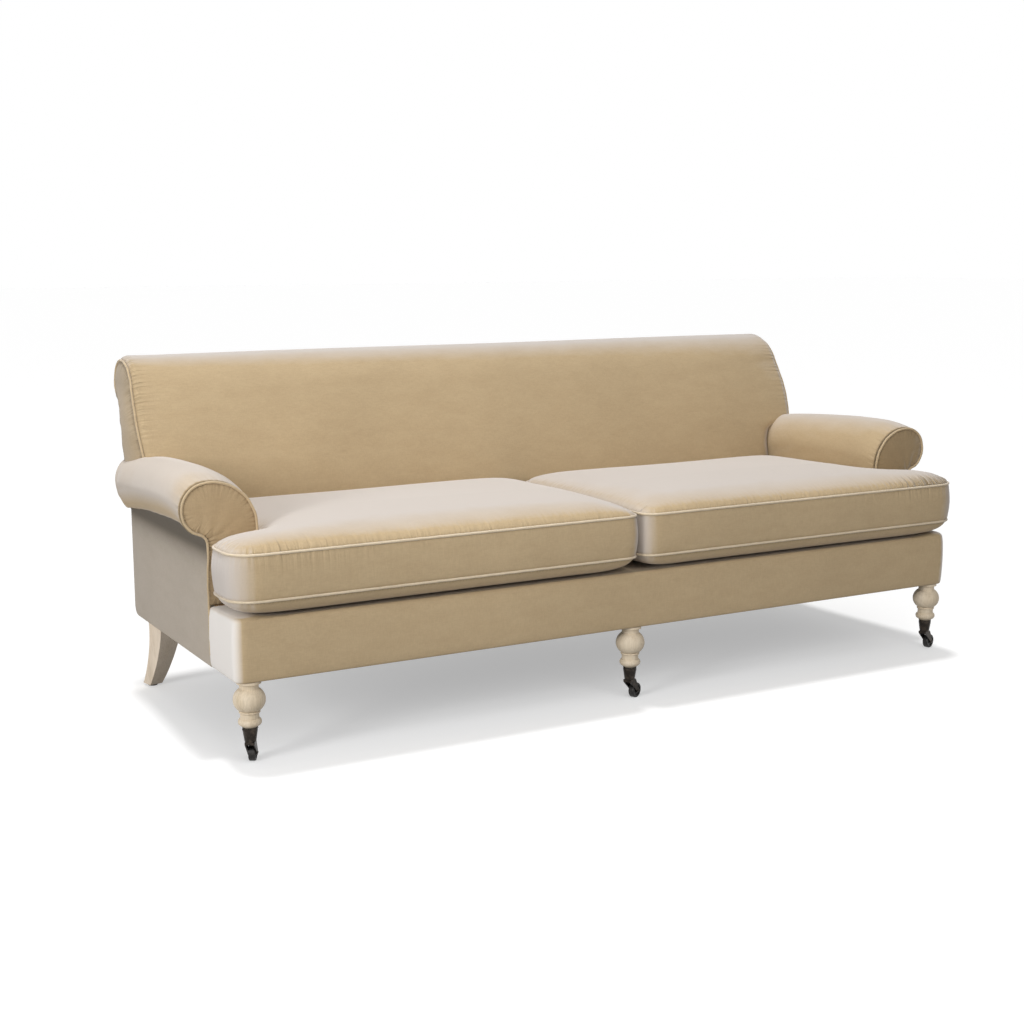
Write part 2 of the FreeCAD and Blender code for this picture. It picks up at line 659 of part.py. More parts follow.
def make_fork(name):
    """A stirrup: a round-ended plate under the cup, two cheeks down to the axle and a stem up into the leg."""
    fork = new_body(f"{name}_caster_fork")
    plate = "Sizes.plate_diameter / 2"
    axle = "Sizes.wheel_diameter / 2"
    outline = [(f"-{plate}", PLATE_TOP), (f"-{plate}", PLATE_BOTTOM),
               ("Sizes.caster_trail - Sizes.boss_radius", axle),
               ("Sizes.caster_trail + Sizes.boss_radius", axle, f"{BOSS_BULGE_SHARE} * Sizes.boss_radius"),
               (plate, PLATE_TOP)]
    pad(fork, sketch_on(fork, f"{name}_cheek_outline", "XZ_Plane", outline), FORK_WIDTH, both_ways=True)
    reach = "(Sizes.caster_trail + Sizes.wheel_diameter)"
    slot = [(f"-{reach}", 0), (reach, 0), (reach, PLATE_BOTTOM), (f"-{reach}", PLATE_BOTTOM)]
    pocket(fork, sketch_on(fork, f"{name}_slot", "XZ_Plane", slot), SLOT, both_ways=True)
    pocket(fork, circle_on(fork, f"{name}_axle_hole", "XZ_Plane", "Sizes.caster_trail", axle, "Sizes.axle_diameter"),
           f"2 * {FORK_WIDTH}", both_ways=True)
    pad(fork, circle_on(fork, f"{name}_stem", "XY_Plane", 0, 0, "Sizes.stem_diameter", lift=PLATE_TOP),
        "Sizes.stem_length")
    return fork


def make_axle(name):
    axle = new_body(f"{name}_caster_axle")
    pad(axle, circle_on(axle, f"{name}_axle_circle", "XZ_Plane", "Sizes.caster_trail", "Sizes.wheel_diameter / 2",
                        "Sizes.axle_diameter"), f"{FORK_WIDTH} + 2 * Sizes.axle_head", both_ways=True)
    return axle


def make_wheel(name):
    """A solid wheel with a dished web, modelled about Y and set out along the trail."""
    wheel = new_body(f"{name}_caster_wheel")
    bore = "(Sizes.axle_diameter / 2 + Sizes.running_clearance)"
    rim = "Sizes.wheel_diameter / 2"
    half = "Sizes.wheel_width / 2"
    hub = "Sizes.hub_diameter / 2"
    inner_rim = f"({rim} - Sizes.rim_depth)"
    curve = "(Sizes.wheel_rounding * (1 - sqrt(0.5)))"
    web = f"({half} - Sizes.web_recess)"
    outline = [(bore, f"-{half}"), (hub, f"-{half}"), (hub, f"-{web}"), (inner_rim, f"-{web}"),
               (inner_rim, f"-{half}"), (f"{rim} - Sizes.wheel_rounding", f"-{half}"),
               (rim, f"Sizes.wheel_rounding - {half}", curve), (rim, f"{half} - Sizes.wheel_rounding"),
               (f"{rim} - Sizes.wheel_rounding", half, curve), (inner_rim, half), (inner_rim, web), (hub, web),
               (hub, half), (bore, half)]
    revolve(wheel, sketch_on(wheel, f"{name}_wheel_profile", "XY_Plane", outline))
    return wheel


def make_caster(name):
    make_cup(name)
    x, y = BOLTS[f"{name}_front"]
    angle = f"Sizes.{name}_caster_angle"
    for piece, label in ((make_fork(name), "fork"), (make_axle(name), "axle")):
        place(piece, x, y, 0, angle=angle)
        keep(piece, f"{name}_caster_{label}")
    wheel = make_wheel(name)
    place(wheel, f"{x} + cos({angle}) * Sizes.caster_trail", f"{y} + sin({angle}) * Sizes.caster_trail",
          "Sizes.wheel_diameter / 2", angle=angle)
    keep(wheel, f"{name}_caster_wheel")


# Soft forms. Their shapes are lofts and sweeps, drawn here in the seat frame.

def size(name):
    return value(f"Sizes.{name}")


def keep_soft(label, shape):
    if shape.Volume < 0:
        shape = shape.reversed()
    item = doc.addObject("Part::Feature", label)
    item.Shape = shape
    item.Placement = FreeCAD.Placement(V(0, value(FRONT_FACE), value(DECK_TOP)), FreeCAD.Rotation())
    return keep(item, label)


def keep_pair(label, right):
    """The right-hand shape and its mirror image."""
    keep_soft(f"left_{label}", right.mirror(V(0, 0, 0), V(1, 0, 0)))
    keep_soft(f"right_{label}", right)


def solid_loft(wires):
    return Part.makeLoft(wires, True, False)


def line(start, end):
    return Part.LineSegment(start, end).toShape()


def arc(start, middle, end):
    return Part.Arc(start, middle, end).toShape()


def prism(points, extent):
    """A flat outline pushed along X from its own plane."""
    return Part.Face(Part.makePolygon(points + points[:1])).extrude(V(extent, 0, 0))


def rounded_path(points, share=0.45):
    """Straight runs along the points, joined by arcs as large as their two runs allow."""
    edges = []
    last = points[0]
    for before, corner, after in zip(points, points[1:], points[2:]):
        inward = before - corner
        outward = after - corner
        setback = share * min(inward.Length, outward.Length)
        inward.normalize()
        outward.normalize()
        start = corner + inward * setback
        end = corner + outward * setback
        half_turn = (math.pi - inward.getAngle(outward)) / 2
        towards_centre = (inward + outward).normalize()
        radius = setback / math.tan(half_turn)
        middle = corner + towards_centre * (radius / math.cos(half_turn) - radius)
        edges.append(line(last, start))
        edges.append(arc(start, middle, end))
        last = end
    edges.append(line(last, points[-1]))
    return Part.Wire(edges)


def tube(path, radius):
    start = path.Edges[0]
    direction = start.tangentAt(start.FirstParameter)
    ring = Part.Wire(Part.Circle(start.valueAt(start.FirstParameter), direction, radius).toShape())
    return path.makePipeShell([ring], True, False)


# Springs

def sinuous(start, along, sideways, length):
    """A flat zigzag spring wire between two rails, with round turns, centred on its line."""
    pitch = size("spring_pitch")
    turn = pitch / 2
    half_run = size("spring_width") / 2 - turn
    loops = max(1, int((length - 2 * pitch) // pitch))
    lead = (length - (loops + 1) * pitch) / 2
    lean = turn * math.sqrt(0.5)
    edges = []
    here = start

    def run(step):
        nonlocal here
        edges.append(line(here, here + step))
        here = here + step

    def bend(through, step):
        nonlocal here
        edges.append(arc(here, here + through, here + step))
        here = here + step

    run(along * lead)
    side = sideways
    bend(along * lean + side * (turn - lean), along * turn + side * turn)
    run(side * (half_run - turn))
    for number in range(loops):
        bend(along * turn + side * turn, along * pitch)
        side = -side
        run(side * (2 * half_run if number < loops - 1 else half_run - turn))
    bend(side * lean + along * (turn - lean), along * turn + side * turn)
    run(along * lead)
    return Part.Wire(edges)


def spring_places(spacing, half_span):
    """Where springs stand on each side of the centre, as many as the spacing lets in."""
    count = int((half_span - size("spring_width")) // spacing + 1)
    return [side * (number + 0.5) * spacing for number in range(count) for side in (-1, 1)]


def make_springs():
    radius = size("spring_wire") / 2
    start = value("Sizes.cover_thickness + Sizes.front_rail_thickness")
    end = value(FRAME_FRONT)
    low = -size("deck_thickness") - radius - size("fit_gap")
    springs = [tube(sinuous(V(x, start, low), V(0, 1, 0), V(1, 0, 0), end - start), radius)
               for x in spring_places(size("seat_spring_spacing"), value(SEAT_HALF))]
    keep_soft("seat_springs", Part.makeCompound(springs))
    bottom = V(0, value(FRAME_FRONT) + radius + size("fit_gap"), value(LOWER_RAIL_TOP))
    top = V(0, value(raked(FRAME_FRONT, TOP_RAIL_BOTTOM)) + radius + size("fit_gap"), value(TOP_RAIL_BOTTOM))
    along = (top - bottom).normalize()
    springs = [tube(sinuous(bottom + V(x, 0, 0), along, V(1, 0, 0), (top - bottom).Length), radius)
               for x in spring_places(size("back_spring_spacing"), value(SEAT_HALF))]
    keep_soft("back_springs", Part.makeCompound(springs))


# Arms. Each row of shares is a place along the arm and, there, how much of the swell behind the facing,
# of the change from the front roll to the rear one, and of the drop at the tail the section has.

ARM_SHARES = ((0, 0, 0, 0), (0.09, 0.75, 0.05, 0), (0.24, 1, 0.25, 0), (0.44, 0.75, 0.55, 0),
              (0.72, 0.25, 0.9, 0.15), (1, 0, 1, 1))
TUCK_SHARE = 0.5
NECK_SHARES = (0.25, 0.75)


def arm_section(depth, swell, change, drop, inset=0):
    """The corners of a right arm's section, from the foot of the inner wall over the roll to its neck."""
    half = size("body_width") / 2
    radius = size("roll_radius") + (size("rear_roll_radius") - size("roll_radius")) * change - inset
    overhang = size("roll_overhang") + (size("rear_roll_overhang") - size("roll_overhang")) * change
    crest = size("arm_height") + size("arm_swell") * swell - size("arm_tail_drop") * drop - inset
    wall = value(SEAT_HALF) + inset
    middle = V(half + overhang - inset - radius, depth, crest - radius)
    shoulder = V(wall, depth, crest + inset - size("arm_shoulder"))
    crown = V(middle.x, depth, crest)
    lean = math.sqrt(0.5)
    shoulder_middle = V(wall + (crown.x - wall) * (1 - lean), depth,
                        shoulder.z + (crown.z - shoulder.z) * lean)
    tuck_x = half + overhang * TUCK_SHARE - inset
    tuck = V(tuck_x, depth, middle.z - math.sqrt(radius ** 2 - (tuck_x - middle.x) ** 2))
    outermost = V(middle.x + radius, depth, middle.z)
    neck = V(half, depth, size("neck_height") + size("neck_lip"))
    neck_middle = neck + V((tuck.x - neck.x) * NECK_SHARES[0], 0, (tuck.z - neck.z) * NECK_SHARES[1])
    return wall, shoulder, shoulder_middle, crown, outermost, tuck, neck_middle, neck


def arm_wire(depth, swell, change, drop, inset=0, hollow=False, floor=None):
    wall, shoulder, shoulder_middle, crown, outermost, tuck, neck_middle, neck = arm_section(
        depth, swell, change, drop, inset)
    low = -size("deck_thickness") if floor is None else floor
    foot = V(wall, depth, low)
    corners = [neck]
    if hollow:
        liner = value(SEAT_HALF) + size("arm_wall")
        corners += [V(neck.x, depth, size("neck_height")), V(liner, depth, size("neck_height")), V(liner, depth, low)]
    else:
        corners.append(V(neck.x, depth, low))
    corners.append(foot)
    edges = [line(foot, shoulder), arc(shoulder, shoulder_middle, crown), arc(crown, outermost, tuck),
             arc(tuck, neck_middle, neck)]
    edges += [line(first, second) for first, second in zip(corners, corners[1:])]
    return Part.Wire(edges)


def arm_loft(inset=0, hollow=False):
    start = value(BEHIND_FACING)
    length = size("body_depth") + size("rake_run") - start
    return solid_loft([arm_wire(start + share * length, *rest, inset=inset, hollow=hollow)
                       for share, *rest in ARM_SHARES])


def behind_frame(face, low):
    """The space behind a face of the back frame, as wide as the wood."""
    top = size("back_height") + size("overrun")
    far = size("body_depth") + 2 * value(SCROLL_REACH) + size("overrun")
    knee = size("knee_height")
    return [V(0, face, low), V(0, face, knee), V(0, face + value(SLOPE) * (top - knee), top), V(0, far, top),
            V(0, far, low)]


def make_arms():
    low = -size("deck_thickness") - size("rail_height")
    arm = arm_loft(hollow=True)
    arm = arm.cut(prism(behind_frame(value(FRAME_FRONT), low), value(WOOD_HALF)))
    arm = arm.cut(prism(behind_frame(size("body_depth"), low), size("body_width")))
    keep_pair("arm_upholstery", arm)
    facing = Part.Face(arm_wire(size("arm_setback"), 0, 0, 0, inset=size("facing_inset"), floor=0))
    keep_pair("arm_facing", facing.extrude(V(0, size("facing_thickness"), 0)))


def make_arm_piping():
    """The welt round the facing, on its front face and half over its edge."""
    radius = size("facing_welt_radius")
    depth = size("arm_setback") - radius
    wall, shoulder, shoulder_middle, crown, outermost, tuck, neck_middle, neck = arm_section(
        depth, 0, 0, 0, inset=size("facing_inset"))
    roll = arc(crown, outermost, tuck).discretize(6)
    shoulder_arc = arc(shoulder, shoulder_middle, crown).discretize(4)
    points = [V(wall, depth, size("fit_gap"))] + shoulder_arc + roll[1:] + [neck_middle, neck]
    points.append(V(neck.x, depth, size("fit_gap")))
    keep_pair("arm_piping", tube(rounded_path(points), radius))


# Back. A section runs from its foot up the front, over the scroll and down the frame.

BACK_SHARES = ((0, 1), (0.45, 1), (0.78, 0.86), (0.92, 0.5), (1, 0))
OVER_SHARES = (0.36, 0.70)
HOLLOW_SHARES = (0.32, 0.56)
ROLL_END = math.radians(-80)
ROLL_MIDDLE = math.radians(-5)


def back_front_points(across, crown):
    """The seat line, waist, shoulder and top of the back's front, with a share of the crown."""
    seat = value(SEAT_DEPTH) + size("seat_line_crown")
    rise = value(SLOPE)
    seat_z = size("seat_line_height")
    waist_z = size("back_waist_height")
    shoulder_z = size("back_shoulder_height")
    waist = seat + rise * (waist_z - seat_z) + size("back_waist_setback")
    shoulder = seat + rise * (shoulder_z - seat_z) + size("back_shoulder_setback")
    top = V(across, size("body_depth") + size("scroll_setback"), size("back_height"))
    return (V(across, seat - size("seat_line_crown") * crown, seat_z),
            V(across, waist - size("waist_crown") * crown, waist_z),
            V(across, shoulder - size("shoulder_crown") * crown, shoulder_z), top)


def scroll_edges(across, shoulder, top):
    """From the shoulder over the top, round the roll and in under it to the top of the outside back."""
    radius = size("scroll_radius")
    centre = top - V(0, 0, radius)
    over = shoulder + V(0, (top.y - shoulder.y) * OVER_SHARES[0], (top.z - shoulder.z) * OVER_SHARES[1])
    under = centre + V(0, radius * math.cos(ROLL_END), radius * math.sin(ROLL_END))
    roll = centre + V(0, radius * math.cos(ROLL_MIDDLE), radius * math.sin(ROLL_MIDDLE))
    base = V(across, value(raked("Sizes.body_depth", "Sizes.scroll_base_height")), size("scroll_base_height"))
    hollow = base + V(0, (under.y - base.y) * HOLLOW_SHARES[0], (under.z - base.z) * HOLLOW_SHARES[1])
    return [arc(shoulder, over, top), arc(top, roll, under), arc(under, hollow, base)], base


def back_wire(across, crown):
    seat, waist, shoulder, top = back_front_points(across, crown)
    foot = V(across, seat.y, 0)
    edges, base = scroll_edges(across, shoulder, top)
    frame = value(FRAME_FRONT)
    rail = value(TOP_RAIL_BOTTOM)
    corners = [base, V(across, value(raked(FRAME_REAR, "Sizes.scroll_base_height")), base.z),
               V(across, value(raked(FRAME_REAR, TOP_RAIL_BOTTOM)), rail),
               V(across, value(raked(FRAME_FRONT, TOP_RAIL_BOTTOM)), rail),
               V(across, frame, size("knee_height")), V(across, frame, 0), foot]
    front = [line(foot, seat), arc(seat, waist, shoulder)]
    return Part.Wire(front + edges + [line(first, second) for first, second in zip(corners, corners[1:])])


def make_back(frame_in_scroll):
    half = value(BACK_HALF)
    right = [back_wire(half * share, crown) for share, crown in BACK_SHARES]
    left = [back_wire(-half * share, crown) for share, crown in BACK_SHARES[:0:-1]]
    back = solid_loft(left + right)
    arm = arm_loft(inset=-size("fit_gap"))
    arms = [arm, arm.mirror(V(0, 0, 0), V(1, 0, 0))]
    for tool in arms + frame_in_scroll:
        back = back.cut(tool)
    keep_soft("inside_back", back)

    seat, waist, shoulder, top = back_front_points(half, 0)
    edges, base = scroll_edges(half, shoulder, top)
    panel_top = V(half, value(raked(FRAME_REAR, "Sizes.scroll_base_height")), base.z)
    knee = V(half, value(FRAME_REAR), size("knee_height"))
    edges += [line(first, second) for first, second in ((base, panel_top), (panel_top, knee), (knee, seat))]
    facing_wire = Part.Wire([arc(seat, waist, shoulder)] + edges)
    facing = Part.Face(facing_wire).extrude(V(size("back_facing_thickness"), 0, 0))
    keep_pair("back_facing", facing.cut(arm))
    make_back_piping(arm, value(WOOD_HALF) + size("facing_welt_radius"))


def make_back_piping(arm, across):
    """The welt round each back facing, from the arm up over the scroll and down the rear edge."""
    seat, waist, shoulder, top = back_front_points(across, 0)
    edges, base = scroll_edges(across, shoulder, top)
    counts = (4, 8, 3)
    end_height = "(Sizes.arm_height - Sizes.arm_tail_drop - Sizes.roll_radius)"
    points = [point for point in arc(seat, waist, shoulder).discretize(6) if point.z > value(end_height)]
    for edge, count in zip(edges, counts):
        points += edge.discretize(count)[1:]
    points.append(V(across, value(raked("Sizes.body_depth", end_height)), value(end_height)))
    keep_pair("back_piping", tube(rounded_path(points), size("facing_welt_radius")).cut(arm))


def placed_shapes(labels):
    """The shapes of kept pieces, moved into the seat frame."""
    shapes = []
    for item in kept:
        if item.Label in labels:
            shape = item.Shape.copy()
            shape.translate(V(0, -value(FRONT_FACE), -value(DECK_TOP)))
            shapes.append(shape)
    return shapes


# Cushions. Each share row of the crown is a height and how far the long sides and the ear are drawn in there;
# the underside has the same, counted down from its welt.

CROWN_SHARES = ((0, 0, 0), (0.32, 0.07, 0.18), (0.72, 0.36, 0.58), (1, 1, 1))
UNDER_SHARES = ((0, 0, 0), (0.45, 0.14, 0.14), (0.82, 0.45, 0.45), (1, 1, 1))
DRAW_ANGLE = math.radians(0.9)
ROUNDING_LOSS_SHARE = 0.64


def cushion_corners(side_in, front_in, ear_in, end_in):
    """The six corners of a right cushion's plan, anticlockwise from the joint's front, with their radii."""
    welt = 2 * size("welt_radius") + size("fit_gap")
    joint = size("cushion_joint") / 2 + welt + side_in
    front = welt - size("cushion_overhang") + front_in
    outer = size("body_width") / 2 + size("cushion_side_overhang") - welt - end_in
    ear_rear = size("arm_setback") - welt - 2 * size("facing_welt_radius") - size("cushion_clearance") - ear_in
    wall = value(SEAT_HALF) - welt - size("cushion_clearance") - ear_in
    rear = value(SEAT_DEPTH) - welt - size("cushion_clearance") - side_in
    return [(joint, front, size("joint_corner_radius")), (outer, front, size("front_corner_radius")),
            (outer, ear_rear, size("ear_corner_radius")), (wall, ear_rear, size("notch_radius")),
            (wall, rear, size("rear_corner_radius")), (joint, rear, size("joint_corner_radius"))]


def cushion_wire(height, insets=(0, 0, 0, 0), rounding=1):
    """A plan outline whose sides are all drawn in by one angle, so every corner arc meets them smoothly."""
    plan = cushion_corners(*insets)
    corners = [V(x, y, height) for x, y, radius in plan]
    radii = [radius * rounding for x, y, radius in plan]
    count = len(corners)
    starts, ends = [], []
    for index, corner in enumerate(corners):
        before = (corners[index - 1] - corner).normalize()
        after = (corners[(index + 1) % count] - corner).normalize()
        starts.append(corner + before * radii[index])
        ends.append(corner + after * radii[index])
    edges = []
    for index, corner in enumerate(corners):
        start, end = starts[index], ends[index]
        chord = end - start
        inward = ((start + end) / 2 - corner).normalize()
        turn = corner - corners[index - 1]
        leaving = corners[(index + 1) % count] - corner
        convex = turn.cross(leaving).z > 0
        half_turn = math.pi / 4 + (DRAW_ANGLE if convex else -DRAW_ANGLE)
        sagitta = chord.Length / 2 * math.tan(half_turn / 2)
        edges.append(arc(start, (start + end) / 2 - inward * sagitta, end))
        following = starts[(index + 1) % count]
        side = following - end
        left = V(-side.y, side.x, 0).normalize()
        edges.append(arc(end, (end + following) / 2 + left * side.Length / 2 * math.tan(DRAW_ANGLE / 2), following))
    return Part.Wire(edges)


def drawn_in(height, reaches, side_share, ear_share):
    """A cushion's outline above or below its band, with the sides drawn in by shares of their reaches."""
    side, front, ear, end = (size(name) for name in reaches)
    insets = (side * side_share, front * ear_share, ear * ear_share, end * ear_share)
    return cushion_wire(height, insets, 1 - ROUNDING_LOSS_SHARE * ear_share)


def make_cushions():
    under_welt = size("fit_gap") + size("under_height")
    top_welt = under_welt + size("band_height")
    below = ("under_reach", "under_reach", "ear_reach", "under_reach")
    above = ("side_reach", "front_reach", "ear_reach", "ear_end_reach")
    under = [drawn_in(under_welt - size("under_height") * drop, below, *shares)
             for drop, *shares in reversed(UNDER_SHARES)]
    band = [cushion_wire(under_welt), cushion_wire((under_welt + top_welt) / 2, (size("band_draw"),) * 4),
            cushion_wire(top_welt)]
    crown = [drawn_in(top_welt + size("crown_height") * rise, above, *shares) for rise, *shares in CROWN_SHARES]
    cushion = solid_loft(under).fuse([solid_loft(band), solid_loft(crown)]).removeSplitter()
    keep_pair("seat_cushion", cushion)
    radius = size("welt_radius")
    out = -radius - size("fit_gap") / 2
    welts = [tube(cushion_wire(height, (out,) * 4), radius) for height in (under_welt, top_welt)]
    keep_pair("cushion_piping", Part.makeCompound(welts))


def main():
    make_rails()
    make_corner_blocks()
    make_arm_frame()
    make_back_frame()
    make_bolts()
    make_front_border()
    make_outside_arms()
    make_outside_back()
    make_seat_deck()
    make_dust_cover()
    for name, turn in (("left", 1), ("centre", 0), ("right", -1)):
        make_front_leg(name)
        make_rear_leg(name, turn)
        make_caster(name)
    make_glides()
    make_cup_screws()
    doc.recompute()
    make_springs()
    make_arms()
    make_arm_piping()
    make_back(placed_shapes(("left_back_post", "right_back_post", "back_top_rail")))
    make_cushions()
    doc.recompute()
    check()
    export()


def check():
    for item in doc.Objects:
        if "Invalid" in item.State or "Error" in item.State:
            raise RuntimeError(f"{item.Name} failed: {item.State}")
    for item in kept:
        if item.Shape.isNull() or not item.Shape.isValid() or not item.Shape.Volume > 0:
            raise RuntimeError(f"{item.Label} has no valid shape")


def export():
    os.makedirs("parts", exist_ok=True)
    for item in kept:
        item.Shape.exportStep(f"parts/{item.Label}.step")
        print(item.Label, len(item.Shape.Solids), round(item.Shape.Volume))


main()
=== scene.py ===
import math

import bmesh
import bpy
import numpy as np
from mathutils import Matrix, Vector, geometry


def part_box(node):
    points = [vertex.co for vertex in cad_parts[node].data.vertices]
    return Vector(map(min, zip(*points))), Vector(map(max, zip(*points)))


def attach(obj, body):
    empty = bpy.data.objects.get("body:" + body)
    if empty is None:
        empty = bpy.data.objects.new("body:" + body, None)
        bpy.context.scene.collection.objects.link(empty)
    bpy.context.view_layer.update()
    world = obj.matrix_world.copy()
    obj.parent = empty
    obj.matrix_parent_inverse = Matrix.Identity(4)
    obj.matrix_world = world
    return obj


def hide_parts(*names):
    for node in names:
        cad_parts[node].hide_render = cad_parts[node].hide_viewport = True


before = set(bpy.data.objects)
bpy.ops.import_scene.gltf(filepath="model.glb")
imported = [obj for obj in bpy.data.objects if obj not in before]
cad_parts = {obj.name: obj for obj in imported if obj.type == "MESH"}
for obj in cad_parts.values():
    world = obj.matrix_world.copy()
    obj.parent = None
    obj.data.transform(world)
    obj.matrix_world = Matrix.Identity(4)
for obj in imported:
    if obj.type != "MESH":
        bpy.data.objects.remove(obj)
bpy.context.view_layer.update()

# Places. The seat frame is a second set of axes: x across, v back from the border's front face, and w up from
# the deck.
border_low, border_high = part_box("front_border")
FRONT = border_low.y
DECK = border_high.z
ORIGIN = np.array([0, FRONT, DECK])
RAIL_LOW = border_low.z - DECK
HALF = border_high.x
BEHIND_FACING = border_high.y - FRONT
SEAT_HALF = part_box("seat_deck")[1].x
FRAME_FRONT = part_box("seat_deck")[1].y - FRONT
WOOD_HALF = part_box("outside_back")[1].x
BACK_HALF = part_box("inside_back")[1].x
# The back frame stands upright up to its knee, and leans from there on.
KNEE = 0.114
SLOPE = 64 / 235
DEPTH = 0.787
SCROLL_BASE = 0.347
COVER = 0.012
BACK_PADDING = 0.110
SEAT_DEPTH = FRAME_FRONT - BACK_PADDING
ARM_SETBACK = 0.171
FACING_INSET = 0.0035
WELT = 0.004
CUSHION_WELT = 0.0045
THIN_WELT = 0.0032


def raked(face, height):
    """The depth of a face of the back frame at a height above the deck."""
    return face + SLOPE * np.maximum(np.asarray(height, dtype=float) - KNEE, 0)


def seat(x, v, w):
    """Seat-frame coordinates as world points."""
    return np.column_stack([given.ravel() for given in np.broadcast_arrays(x, v, w)]) + ORIGIN


# Shares

def between(value, start, end):
    """How far a value has come from start to end, from 0 to 1."""
    return np.clip((np.asarray(value, dtype=float) - start) / (end - start), 0, 1)


def fade(distance, reach):
    """A share that starts at 1 and dies out with the distance."""
    return np.exp(-distance / reach)


def bell(distance, reach):
    """A share that is 1 at no distance and falls off like a bell."""
    return np.exp(-(distance / reach) ** 2)


def distance_to(points, place):
    """How far each point is from one place."""
    return np.linalg.norm(points - np.asarray(place), axis=1)


# Lines

def arc(start, middle, end, count=24):
    """Points on the circle through three points of a plane."""
    (ax, ay), (bx, by), (cx, cy) = start, middle, end
    area = 2 * (ax * (by - cy) + bx * (cy - ay) + cx * (ay - by))
    a, b, c = ax ** 2 + ay ** 2, bx ** 2 + by ** 2, cx ** 2 + cy ** 2
    centre = np.array([a * (by - cy) + b * (cy - ay) + c * (ay - by),
                       a * (cx - bx) + b * (ax - cx) + c * (bx - ax)]) / area
    angles = [math.atan2(y - centre[1], x - centre[0]) for x, y in (start, middle, end)]
    full = 2 * math.pi
    turn = (angles[2] - angles[0]) % full
    if (angles[1] - angles[0]) % full > turn:
        turn -= full
    at = angles[0] + turn * np.linspace(0, 1, count + 1)
    return centre + math.dist(centre, start) * np.column_stack([np.cos(at), np.sin(at)])


def chain(*runs):
    """Runs of points joined into one, without the doubled ends."""
    points = [np.asarray(runs[0], dtype=float)]
    for run in runs[1:]:
        run = np.asarray(run, dtype=float)
        same = np.linalg.norm(run[0] - points[-1][-1]) < 1e-6
        points.append(run[1:] if same else run)
    return np.vstack(points)


def lengths(points, closed=False):
    """A line, closed if asked, and how far along it each of its points is."""
    ring = np.vstack([points, points[:1]]) if closed else points
    return ring, np.concatenate([[0], np.cumsum(np.linalg.norm(np.diff(ring, axis=0), axis=1))])


def resample(points, count=None, step=None, closed=False):
    """Points spaced evenly along a line."""
    ring, along = lengths(np.asarray(points, dtype=float), closed)
    if count is None:
        count = max(3, int(round(along[-1] / step)))
    at = np.linspace(0, along[-1], count + 1)
    if closed:
        at = at[:-1]
    return np.column_stack([np.interp(at, along, ring[:, axis]) for axis in range(ring.shape[1])])


def relax(points, times, closed=True):
    """A line with its corners eased."""
    points = points.copy()
    for _ in range(times):
        mean = (np.roll(points, 1, axis=0) + np.roll(points, -1, axis=0)) / 2
        if not closed:
            mean[0], mean[-1] = points[0], points[-1]
        points = (points + mean) / 2
    return points


def smooth_table(table, at):
    """A smooth curve through the rows of a table: the first column is the place, the others the values."""
    table = np.asarray(table, dtype=float)
    place, values = table[:, 0], table[:, 1:]
    slope = np.gradient(values, place, axis=0)
    at = np.clip(at, place[0], place[-1])
    row = np.clip(np.searchsorted(place, at, side="right") - 1, 0, len(place) - 2)
    width = place[row + 1] - place[row]
    t = ((at - place[row]) / width)[..., None]
    width = width[..., None]
    return ((2 * t ** 3 - 3 * t ** 2 + 1) * values[row] + (t ** 3 - 2 * t ** 2 + t) * width * slope[row]
            + (3 * t ** 2 - 2 * t ** 3) * values[row + 1] + (t ** 3 - t ** 2) * width * slope[row + 1])


def ripple(along, total, pitch, seed):
    """Uneven waves along a line, from -1 to 1, with about one every pitch."""
    count = max(4, int(round(2 * total / pitch)))
    draw = np.random.default_rng(seed)
    knots = draw.uniform(0.25, 1, count) * np.where(np.arange(count) % 2, -1, 1)
    place = (np.arange(count) + draw.uniform(-0.22, 0.22, count)) * total / count
    place = np.concatenate([place - total, place, place + total])
    knots = np.tile(knots, 3)
    return smooth_table(np.column_stack([place, knots]), np.asarray(along) % total)[..., 0]


def anticlockwise(outline):
    """A closed outline, turned round if it runs clockwise."""
    x, y = outline.T
    return outline[::-1] if np.sum(x * np.roll(y, -1) - y * np.roll(x, -1)) < 0 else outline


def normals(outline):
    """The outward directions of a closed, anticlockwise outline, longer at corners to move sides alike."""
    before, after = np.roll(outline, 1, axis=0), np.roll(outline, -1, axis=0)
    first, second = outline - before, after - outline
    first /= np.maximum(np.linalg.norm(first, axis=1, keepdims=True), 1e-12)
    second /= np.maximum(np.linalg.norm(second, axis=1, keepdims=True), 1e-12)
    normal = np.column_stack([(first + second)[:, 1], -(first + second)[:, 0]])
    normal /= np.maximum(np.linalg.norm(normal, axis=1, keepdims=True), 1e-12)
    straight = np.abs(np.sum(normal * np.column_stack([first[:, 1], -first[:, 0]]), axis=1))
    return normal / np.clip(straight, 0.6, 1)[:, None]


def offset(outline, distance):
    """A closed, anticlockwise outline moved outwards, by one distance or by one for each point."""
    return outline + normals(outline) * np.reshape(distance, (-1, 1))


def nearest(points, line):
    """For each point: how far it is from a closed line, and how far along the line its nearest place is."""
    ring, along = lengths(line, True)
    best = np.full(len(points), np.inf)
    place = np.zeros(len(points))
    for start, end, base in zip(ring[:-1], ring[1:], along[:-1]):
        run = end - start
        size = np.dot(run, run)
        if size < 1e-16:
            continue
        t = np.clip((points - start) @ run / size, 0, 1)
        gap = np.linalg.norm(points - start - t[:, None] * run, axis=1)
        closer = gap < best
        best[closer] = gap[closer]
        place[closer] = base + t[closer] * math.sqrt(size)
    return best, place


def gathers(points, line, pitch, seed, reach):
    """Folds that run in from a closed line and die out, and how far each point is from the line."""
    gap, run = nearest(points, line)
    return ripple(run, lengths(line, True)[1][-1], pitch, seed) * fade(gap, reach), gap


